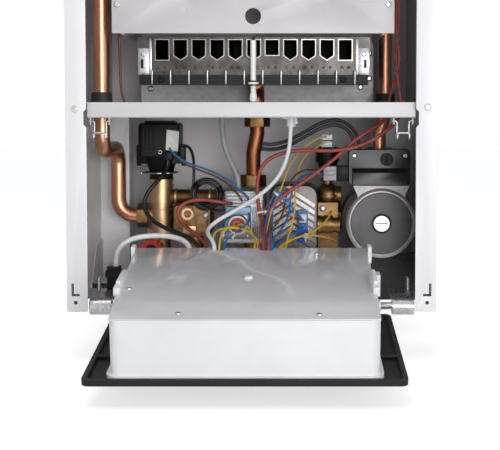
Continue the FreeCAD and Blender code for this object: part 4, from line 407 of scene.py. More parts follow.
# Screws of the casing and the chamber; plate and rail of the burner lie a sheet behind their foremost tabs
SHEET = 1.2
case_front = corners("left_side_panel")[0].y
panel_front = corners("chamber_front_panel")[0].y
sheet_front = corners("combustion_chamber")[1].y - SHEET
rail_front = corners("burner_rail")[0].y + SHEET
burner_front = corners("burner_plate")[0].y + SHEET
SHEET_SCREWS = [(-136, sheet_front, 246), (132, sheet_front, 248), (143, sheet_front, 291),
                (143, sheet_front, 259)]
HOLE_X, HOLE_HEIGHT = 190.5, 10
HOLE_PLUG = [(1.95, 0), (1.95, 0.5), (1.4, 0.9), (0, 0.9)]
screws("left_flange_screw", "nickel", "left_side_panel", [(-190, case_front, 220)], radius=3.8)
screws("right_flange_screw", "nickel", "right_side_panel", [(190, case_front, 222)], radius=3.8)
build("flange_hole_plugs", "rubber_and_painted_shade", "left_side_panel",
      lathes=[((x, case_front + SHEET, HOLE_HEIGHT), FRONT, HOLE_PLUG, 20) for x in (-HOLE_X, HOLE_X)])
screws("chamber_panel_screws", "nickel", "chamber_front_panel",
       [(-154, panel_front, 338), (153, panel_front, 338)], radius=3.4)
screws("back_sheet_screws", "zinc", "combustion_chamber", SHEET_SCREWS, radius=4.0)
screws("rail_screws", "burner_steel_and_slot_shade", "burner_rail", [(-106, rail_front, 253.5), (103, rail_front, 253.5)],
       radius=3.6)

# Burner mouths: pressed rims over spot welds in pairs; the end mouths and one more have a flat foot
BLADE_PITCH = 21.1
END_BLADE = 5
FLAT_BLADE = 1
MOUTH_HALF = 7.5
MOUTH_TOP = 299.5
MOUTH_SIDE = 282.0
MOUTH_POINT = 276.5
MOUTH_RIM = 0.9
WELD_HEIGHT = 268
WELD_SIDE = 4
WELD = [(1.8, 0), (1.6, 0.4), (0.9, 0.7), (0, 0.75)]


def mouth_rim(bm, x, low_side, low_point):
    outer = MOUTH_HALF + MOUTH_RIM
    top = MOUTH_TOP + MOUTH_RIM
    outline = [(x - outer, top), (x - outer, low_side - MOUTH_RIM), (x, low_point - MOUTH_RIM),
               (x + outer, low_side - MOUTH_RIM), (x + outer, top)]
    face = sheet(bm, burner_front, outline)
    bmesh.ops.inset_region(bm, faces=[face], thickness=MOUTH_RIM * MM, use_boundary=True,
                           use_even_offset=True)
    bmesh.ops.delete(bm, geom=[face], context="FACES")


rims = bmesh.new()
welds = bmesh.new()
for index in range(-END_BLADE, END_BLADE + 1):
    x = index * BLADE_PITCH
    low_side = MOUTH_POINT if abs(index) == END_BLADE else MOUTH_SIDE
    low_point = MOUTH_SIDE if index == FLAT_BLADE else MOUTH_POINT
    mouth_rim(rims, x, low_side, low_point)
    for side in (-WELD_SIDE, WELD_SIDE):
        turned(welds, (x + side, burner_front, WELD_HEIGHT), FRONT, WELD, steps=12)
bmesh.ops.solidify(rims, geom=rims.faces, thickness=-MOUTH_RIM * MM)
piece("burner_mouth_rims", rims, "stainless", "burner_plate")
piece("burner_spot_welds", welds, "heated_steel", "burner_plate")

# Bright strips bent over the rail, between the blades
STRIP_HALF = 0.7
STRIP_FRONT, STRIP_BACK = rail_front - 2.2, rail_front - 0.4
STRIP_FLOOR, STRIP_BEND, STRIP_TOP = 248, 263, 264.5
strips = []
for index in range(-END_BLADE - 1, END_BLADE + 1):
    x = (index + 0.5) * BLADE_PITCH
    left, right = x - STRIP_HALF, x + STRIP_HALF
    strips += [((left, STRIP_FRONT, STRIP_FLOOR), (right, STRIP_BACK, STRIP_TOP), FINE_EDGE),
               ((left, STRIP_FRONT, STRIP_BEND), (right, burner_front, STRIP_TOP), FINE_EDGE)]
build("burner_strips", "zinc", "burner_rail", strips)

# Zinc faces on the end brackets, each with a raised edge, a screw and a slot whose opening is a dark block of
# painted shade
TAB_FRONT, TAB_BACK = burner_front - 2.0, burner_front - 1.0
RIDGE_BACK = burner_front - 0.2
SLOT_FRONT, SLOT_BACK = burner_front - 2.3, burner_front - 1.5
BRACKET_FACES = [((120.5, TAB_FRONT, 259), (133.4, TAB_BACK, 290), FINE_EDGE),
                 ((117.5, TAB_FRONT, 259), (120.5, RIDGE_BACK, 301.5), FINE_EDGE)]
BRACKET_SLOT_SHADE = ((126.9, SLOT_FRONT, 267), (130.1, SLOT_BACK, 277), FINE_EDGE)
build("burner_bracket_faces", "zinc", "burner_plate", both_sides(BRACKET_FACES))
# Dark blocks in the slots: painted shade in their openings
build("burner_bracket_slot_shade", "burner_steel_and_slot_shade", "burner_plate", both_sides([BRACKET_SLOT_SHADE]))
screws("burner_bracket_screws", "nickel", "burner_plate", [(-127, TAB_FRONT, 283), (127, TAB_FRONT, 283)],
       radius=2.6)

# Electrode: fired tip above the porcelain, steel nut on its collar and a terminal sleeve below it
ELECTRODE_Y = -230.2
NUT_RINGS = [((0, ELECTRODE_Y, 246.6), UP, 3.2, 6.6, 1.5), ((0, ELECTRODE_Y, 250.3), UP, 3.2, 5.2, 2.0)]
TIP = [(2.2, 0), (2.2, 1.2), (1.1, 1.6), (1.0, 4.0), (0, 4.4)]
BOOT = [(2.6, 0), (4.0, 0.8), (4.4, 5.0), (3.6, 9.5), (3.4, 10.5)]
build("electrode_nut", "burner_steel_and_slot_shade", "electrode", rings=NUT_RINGS)
build("electrode_tip", "burner_steel_and_slot_shade", "electrode", lathes=[((0, ELECTRODE_Y, 298), UP, TIP, 16)])
build("electrode_boot", "white_sleeve", "electrode", lathes=[((0, ELECTRODE_Y, 228), UP, BOOT, 20)])

# Diverter motor: cap, the block that the cable leaves, ribs and screw posts
DIVERTER = (-117, -135)
low, high = corners("diverter_motor")
RIB_WIDTH = 1.8
POST_FLOOR, POST_INSET = high.z - 53, 1.4
SCREW_POST = [(0, 0), (2.6, 0), (2.8, 0.6), (2.8, 25.4), (2.2, 26), (0, 26)]
mouldings = [((-135, low.y + 6, high.z), (-99, high.y - 6, high.z + 2.6), 1.0),
             ((-112, low.y - 2, high.z - 45), (-100, low.y + 8, high.z - 34), 1.2)]
for x in (-137, -132.5, -128, -123.5):
    mouldings.append(((x, low.y - 1.2, high.z - 33), (x + RIB_WIDTH, low.y + 1, high.z - 5), CLIP_EDGE))
posts = [((x, DIVERTER[1], POST_FLOOR), UP, SCREW_POST) for x in (low.x + POST_INSET, high.x - POST_INSET)]
build("motor_mouldings", "black_plastic", "diverter_motor", mouldings, lathes=posts)

# Wire clip under the motor, and the eyelet on its front
CLIP_LEGS = [((-139.5, -160, 141.4), (-137.5, -132, 142.7), CLIP_EDGE),
             ((-96.5, -160, 141.4), (-94.5, -132, 142.7), CLIP_EDGE)]
CLIP_RINGS = [((*DIVERTER, 141.4), UP, 20.6, 22.4, 1.3),
              ((-115, -161.8, 168), FRONT, 1.5, 2.4, 1.0)]
build("motor_clip", "nickel", "diverter_motor", CLIP_LEGS, CLIP_RINGS)

# Bare paper tag on the motor: its right edge and its foot curl off the face, and it ripples a little
TAG_X, TAG_Z = -100, 182
TAG_WIDTH, TAG_HEIGHT = 15, 24
TAG_LEAN, TAG_TILT = 1.4, 2.0
TAG_FRONT = low.y - 1.5
TAG_PAPER = 0.25
TAG_CREASE = 60
SIDE_CURL, SIDE_CURL_START = 12.8, 0.1
FOOT_CURL, FOOT_CURL_START = 9.6, 0.2
RIPPLE = 0.15
tag = bmesh.new()
bmesh.ops.create_grid(tag, x_segments=8, y_segments=10, size=0.5)
for vert in tag.verts:
    a, b = vert.co.x, vert.co.y
    curl = SIDE_CURL * max(0, a - SIDE_CURL_START) ** 2 + FOOT_CURL * max(0, -b - FOOT_CURL_START) ** 2
    ripple = RIPPLE * math.sin(a * 7 + b * 4)
    vert.co = Vector((TAG_X + a * TAG_WIDTH + b * TAG_LEAN, TAG_FRONT - curl - ripple,
                      TAG_Z + b * TAG_HEIGHT - a * TAG_TILT)) * MM
bmesh.ops.solidify(tag, geom=tag.faces, thickness=TAG_PAPER * MM)
piece("motor_tag", tag, "paper", "diverter_motor", crease=TAG_CREASE)

# Brass side: lip of the plug, rings on the castings, a raised pad and fixing screws
MANIFOLD_PAD = ((-88, -166.6, 70), (-72, -164, 79), 0.9)
MANIFOLD_RINGS = [((-81.5, -172, 94), FRONT, 4.4, 7.2, 0.9), ((*DIVERTER, 96), UP, 13.7, 15.4, 2.0),
                  ((*DIVERTER, 84), UP, 13.7, 15.0, 1.6), ((-100, -135, 112), RIGHT, 8.7, 10.4, 2.6),
                  ((-58, -135, 112), RIGHT, 8.7, 10.4, 2.6)]
build("manifold_rings", "cast_brass", "brass_manifold", [MANIFOLD_PAD], MANIFOLD_RINGS)
screws("manifold_screw", "zinc", "brass_manifold", [(-60, -168.5, 92)], radius=4.0)
screws("return_screws", "zinc", "return_manifold", [(82, -155, 99), (94, -155, 47)], radius=4.2)

# Return block: a barrel across its front, a port towards the pump and rings on the vent's neck
VENT = (88, -135)
FRONT_BARREL = [(0, 0), (9.5, 0), (11.2, 1.2), (11.2, 6.4), (10.4, 7.0), (10.4, 8.4), (11.2, 9.0),
                (11.2, 19.4), (9.6, 20.6), (0, 20.6)]
PUMP_PORT = [(0, 0), (12.2, 0), (12.2, 11.0), (11.0, 12.0), (11.0, 16.4), (10.2, 17.0), (0, 17.0)]
RETURN_RINGS = [((*VENT, 112.5), UP, 14.4, 16.2, 3.0), ((100, -155, 79), RIGHT, 6.0, 10.2, 2.6),
                ((*VENT, 131), UP, 5.8, 8.6, 5.0)]
build("return_rings", "dark_brass", "return_manifold", rings=RETURN_RINGS,
      lathes=[((74, -153, 79.5), RIGHT, FRONT_BARREL), ((*VENT, 114), RIGHT, PUMP_PORT)])

# Black centre in the well of the red cap on the relief valve
CAP_WELL = corners("relief_cap")[0].y + 5
CAP_CENTRE = [(6.7, 0), (6.7, 3.2), (6.0, 4.0), (3.2, 4.2), (2.8, 3.4), (0, 3.4)]
build("relief_cap_centre", "black_plastic", "relief_cap", lathes=[((-124, CAP_WELL, 52), FRONT, CAP_CENTRE)])

# Painted highlight: bright ribs laid over those of the plate stack, each bent up at the middle
PLATE_RIBS, RIB_PITCH, RIB_FLOOR = 8, 8.5, 41.2
RIB_HEIGHT, RIB_RISE = 5.1, 16
RIB_FRONT, RIB_SHEET = -166.0, 0.6
PLATES_LEFT, PLATES_MIDDLE, PLATES_RIGHT = 21.5, 46.5, 71.5
ribs = bmesh.new()
for index in range(PLATE_RIBS):
    floor = RIB_FLOOR + RIB_PITCH * index
    top = floor + RIB_HEIGHT
    sheet(ribs, RIB_FRONT, [(PLATES_LEFT, floor), (PLATES_MIDDLE, floor + RIB_RISE), (PLATES_RIGHT, floor),
                            (PLATES_RIGHT, top), (PLATES_MIDDLE, top + RIB_RISE), (PLATES_LEFT, top)])
bmesh.ops.solidify(ribs, geom=ribs.faces, thickness=-RIB_SHEET * MM)
piece("plate_rib_highlights", ribs, "stainless", "plate_exchanger")

# Gas valve: blue coil case, coloured rings and a red centre on the coil
COIL_X, COIL_Z = -20, 83
COIL_CASE = [((-34, -199, 95.5), (-4, -181, 105), 1.6), ((-34.6, -193, 70), (-32.4, -181, 97), 0.8),
             ((-7.4, -193, 70), (-5.2, -181, 97), 0.8)]
COIL_RING = 0.8
# Name, finish, inner and outer radius and the place of the back of each ring
COIL_RINGS = [("white", "white_plastic", 9.0, 11.4, -196.2), ("red", "red_plastic", 6.4, 8.8, -198.8),
              ("brass", "turned_brass", 3.8, 6.2, -201.4)]
COIL_CENTRE = [(3.6, 0), (3.4, 0.6), (1.6, 0.9), (1.2, 0.5), (0, 0.5)]
build("valve_coil_case", "pale_blue", "gas_valve", COIL_CASE)
for name, finish, inner, outer, back in COIL_RINGS:
    build(f"valve_coil_ring_{name}", finish, "gas_valve",
          rings=[((COIL_X, back, COIL_Z), FRONT, inner, outer, COIL_RING)])
build("valve_coil_centre", "red_plastic", "gas_valve",
      lathes=[((COIL_X, -204, COIL_Z), FRONT, COIL_CENTRE, 20)])

# Cast ribs across the top of the gas valve and up its right side, its mounting plate and screws
CROSS_RIBS = [((-36, -184, z), (10, -180, z + 1.8), CLIP_EDGE) for z in (107, 111.2, 115.4, 119.6)]
UPRIGHT_RIBS = [((x, -184.4, 66), (x + 1.2, -180, 103), THIN_EDGE) for x in (-2.5, 0.1, 2.7, 5.3, 7.9)]
VALVE_PLATE = ((-37, -188, 61.5), (9, -180, 65.5), 1.0)
build("valve_ribs", "stainless", "gas_valve", CROSS_RIBS + UPRIGHT_RIBS)
build("valve_mounting_plate", "white_plastic", "gas_valve", [VALVE_PLATE])
screws("valve_screws", "nickel", "gas_valve", [(-30, -186, 69.5), (-8.5, -186, 69.5)], radius=2.4)

# Flow sensor's plug, and the two plugs on the air vent
SENSOR_PLUG = [((52.5, -194, 85.5), (61.5, -185, 96), 1.2), ((54, -197, 87.5), (60, -193, 94), 0.8)]
build("sensor_connector", "white_plastic", "flow_sensor", SENSOR_PLUG)
vent_plugs = []
for z in (173.5, 182.0):
    vent_plugs += [((80.5, -149.5, z), (93.5, -139.5, z + 7.2), 1.0),
                   ((83.5, -151.5, z + 1.6), (90.5, -148.5, z + 5.6), 0.7)]
build("vent_connectors", "white_plastic", "air_vent", vent_plugs)

# Ribbed crown of the air vent
CROWN_RIBS = 12
CROWN_RIB = ((12.4, -2.1, 157), (14.8, 2.1, 173), 0.6)
CROWN_RING = ((*VENT, 155), UP, 12.5, 14.8, 3.0)
crown = bmesh.new()
for step in range(CROWN_RIBS):
    spin = Matrix.Rotation(2 * math.pi * (step + 0.5) / CROWN_RIBS, 4, "Z")
    block(crown, *CROWN_RIB, Matrix.Translation(Vector((*VENT, 0)) * MM) @ spin)
ring(crown, *CROWN_RING)
piece("vent_crown", crown, "black_plastic", "air_vent")

# Pump's lead plug: ribbed black sleeve and a grey latch
PLUG_SLEEVE = [((96.5, -186.8, 134.4), (111.3, -167.4, 152.6), 1.2)]
PLUG_RIBS = [((x, -187.6, 136), (x + 1.6, -167, 151), THIN_EDGE) for x in (99, 103, 107)]
PLUG_LATCH = [((83, -188, 141), (95, -185.4, 147), 0.8), ((81.6, -186.6, 134.8), (83.4, -167.6, 152.2), 0.6)]
build("pump_plug_sleeve", "black_plastic", "lead_connectors", PLUG_SLEEVE + PLUG_RIBS)
build("pump_plug_latch", "grey_plastic", "lead_connectors", PLUG_LATCH)

# Coil of spare black lead: further turns beside those of the CAD, and tape round them
SPARE_CENTRE = Vector((-57.5, -168.0, 118.0))
SPARE_RADIUS = 16.5
# Radius and place of each further turn
SPARE_TURNS = [(13.2, -170.5), (18.4, -170.5), (13.6, -175.5), (18.2, -176.5)]
SPARE_TURNS_X = -58.6
TURN_RADIUS, TURN_POINTS, TURN_CREASE = 1.6, 10, 80
TAPE_ANGLES = (20, 140, 250)
TAPE_Y, TAPE_HALF = -174.8, 4
TAPE_ACROSS, TAPE_DEEP, TAPE_SHEET = 3.3, 8.4, 0.3
TAPE = [(1, 0), (1.04, 0.3), (1.04, 7.7), (1, 8)]
coil = bmesh.new()
for radius, y in SPARE_TURNS:
    around = [2 * math.pi * step / TURN_POINTS for step in range(TURN_POINTS + 1)]
    section = [(radius + TURN_RADIUS * math.cos(angle), TURN_RADIUS * math.sin(angle)) for angle in around]
    turned(coil, (SPARE_TURNS_X, y, SPARE_CENTRE.z), FRONT, section, steps=40)
piece("coil_turns", coil, "black_sleeve", "coil_lead", crease=TURN_CREASE)
for number, degrees in enumerate(TAPE_ANGLES, 1):
    angle = math.radians(degrees)
    around = Vector((-math.sin(angle), 0, math.cos(angle)))
    out = Vector((math.cos(angle), 0, math.sin(angle)))
    middle = Vector((SPARE_CENTRE.x, TAPE_Y, SPARE_CENTRE.z)) + out * SPARE_RADIUS
    turn = Matrix((out * TAPE_ACROSS, FRONT * TAPE_DEEP, around)).transposed().to_4x4()
    tape = bmesh.new()
    turned(tape, (0, 0, -TAPE_HALF), UP, TAPE, steps=24)
    bmesh.ops.transform(tape, matrix=Matrix.Translation(middle * MM) @ turn, verts=tape.verts)
    bmesh.ops.solidify(tape, geom=tape.faces, thickness=TAPE_SHEET * MM)
    piece(f"coil_tape_{number}", tape, "black_plastic", "coil_lead")

# Pump: dark bare face plate in the recess, collar of the vent screw and painted shade in its slit
PUMP_X, PUMP_Z = 149, 86
FACE_PLATE = [(9.5, 0), (9.5, 1.1), (9.9, 1.4), (35.4, 1.4), (36.1, 0.9), (36.1, 0), (9.5, 0)]
pump_front = corners("pump_motor")[0].y
slit_front = corners("pump_vent_screw")[0].y + 0.4
build("pump_face_plate", "dark_foil", "pump_motor",
      lathes=[((PUMP_X, pump_front + 2, PUMP_Z), FRONT, FACE_PLATE, 72)])
build("pump_screw_collar", "black_plastic", "pump_motor",
      rings=[((PUMP_X, pump_front + 0.6, PUMP_Z), FRONT, 9.5, 11.6, 1.2)])
# A dark bar in the vent screw's slit: painted shade
build("pump_screw_slit_shade", "rubber_and_painted_shade", "pump_vent_screw",
      [((141.4, slit_front, 85.4), (156.6, slit_front + 2, 86.6), 0.2)])

# Pump's terminal box: speed selector and cover screws
SELECTOR = [(7.6, 0), (7.6, 1.4), (7.0, 2.0), (5.4, 2.0), (5.0, 1.4), (0, 1.4)]
SELECTOR_GRIP = ((154.6, -194.2, 155.8), (157.4, -190.8, 165.2), 0.7)
build("pump_selector", "black_plastic", "pump_terminal_box", [SELECTOR_GRIP],
      lathes=[((156, -190.8, 160.5), FRONT, SELECTOR)])
screws("terminal_screws", "nickel", "pump_terminal_box", [(118, -191, 165), (178, -191, 165)], radius=2.8)

# Dark sheet of painted shade on the bracket of the pipe tails, taller beside the pump
low, high = corners("pipe_bracket")
APRON_FRONT, APRON_BACK = low.y - 1.4, low.y - 0.1
APRON_FLOOR, APRON_STEP, APRON_INSET = -11, 104, 0.6
APRON = [((APRON_STEP, APRON_FRONT, APRON_FLOOR), (high.x - APRON_INSET, APRON_BACK, 46), THIN_EDGE),
         ((low.x + APRON_INSET, APRON_FRONT, APRON_FLOOR), (APRON_STEP, APRON_BACK, 9), THIN_EDGE)]
build("pipe_bracket_shade_sheet", "rubber_and_painted_shade", "pipe_bracket", APRON)

# Clip that holds the ignition lead under the shelf: a sleeve and two hooked arms
shelf_floor = corners("chamber_shelf")[1].z - SHEET
CLIP_SLEEVE = ((43, -228, 199.5), UP, 2.5, 5.4, 13)
CLIP_ARMS = [((33.5, -231.5, 208.5), (40.5, -224.5, 212.5), 0.9),
             ((33.5, -230.5, 211), (36.5, -225.5, shelf_floor), 0.7),
             ((45, -231, 203), (51, -225, 206.5), 0.9),
             ((47.5, -230.5, 205), (50, -225.5, shelf_floor), 0.7)]
build("ignition_clip", "white_plastic", "chamber_shelf", CLIP_ARMS, [CLIP_SLEEVE])

# Control box, drawn in its own frame: x across, u along the lid from the hinge, v out of the lid
hinge = next(joint for joint in frame["joints"] if joint["name"] == "box_hinge")
OPEN = math.radians(98)
BOX_U = Vector((0, -math.sin(OPEN), math.cos(OPEN)))
BOX_V = Vector((0, math.cos(OPEN), math.sin(OPEN)))
BOX = Matrix.Translation(Vector(hinge["pos_m"])) @ Matrix((RIGHT, BOX_U, BOX_V)).transposed().to_4x4()
LID_BACK = (-9.0, 62.0)
LID_BEND = (138.0, 56.0)
LID_FRONT = (182.0, 47.0)
LID_SHEET = 1.5


def on_lid(x, u):
    (u0, v0), (u1, v1) = (LID_BACK, LID_BEND) if u <= LID_BEND[0] else (LID_BEND, LID_FRONT)
    v = v0 + (v1 - v0) * (u - u0) / (u1 - u0) + LID_SHEET
    return BOX @ (Vector((x, u, v)) * MM) / MM


# Lid screws, the catch on the lid, side tabs, ridges on the black face and pointers on the knobs
LID_SCREWS = [on_lid(-115, 121), on_lid(70, 13), on_lid(69, 174), on_lid(-62, 172)]
LID_CATCH = [((-3.6, 86, 58.6), (4.2, 93, 61.6), 0.8)]
SIDE_TABS = both_sides([((121.5, 74, 55), (128.2, 136, 64), 1.2), ((122.8, 84, 63), (127.2, 124, 67), 1.0)])
FASCIA_RIDGES = both_sides([((127, 127, -10), (149, 130.5, -6.9), 0.6)])
POINTER_HALF = 0.9
screws("lid_screws", "nickel", "box_lid", LID_SCREWS, radius=2.9, way=BOX_V)
build("lid_tabs", "white_plastic", "box_body", LID_CATCH + SIDE_TABS, turn=BOX)
build("fascia_ridges", "black_fascia", "fascia", FASCIA_RIDGES, turn=BOX)
for name, x in (("heating_knob", -95), ("water_knob", 95)):
    pointer = ((x - POINTER_HALF, 101, -26.9), (x + POINTER_HALF, 114, -26.1), FINE_EDGE)
    build(name + "_pointer", "white_plastic", name, [pointer], turn=BOX)

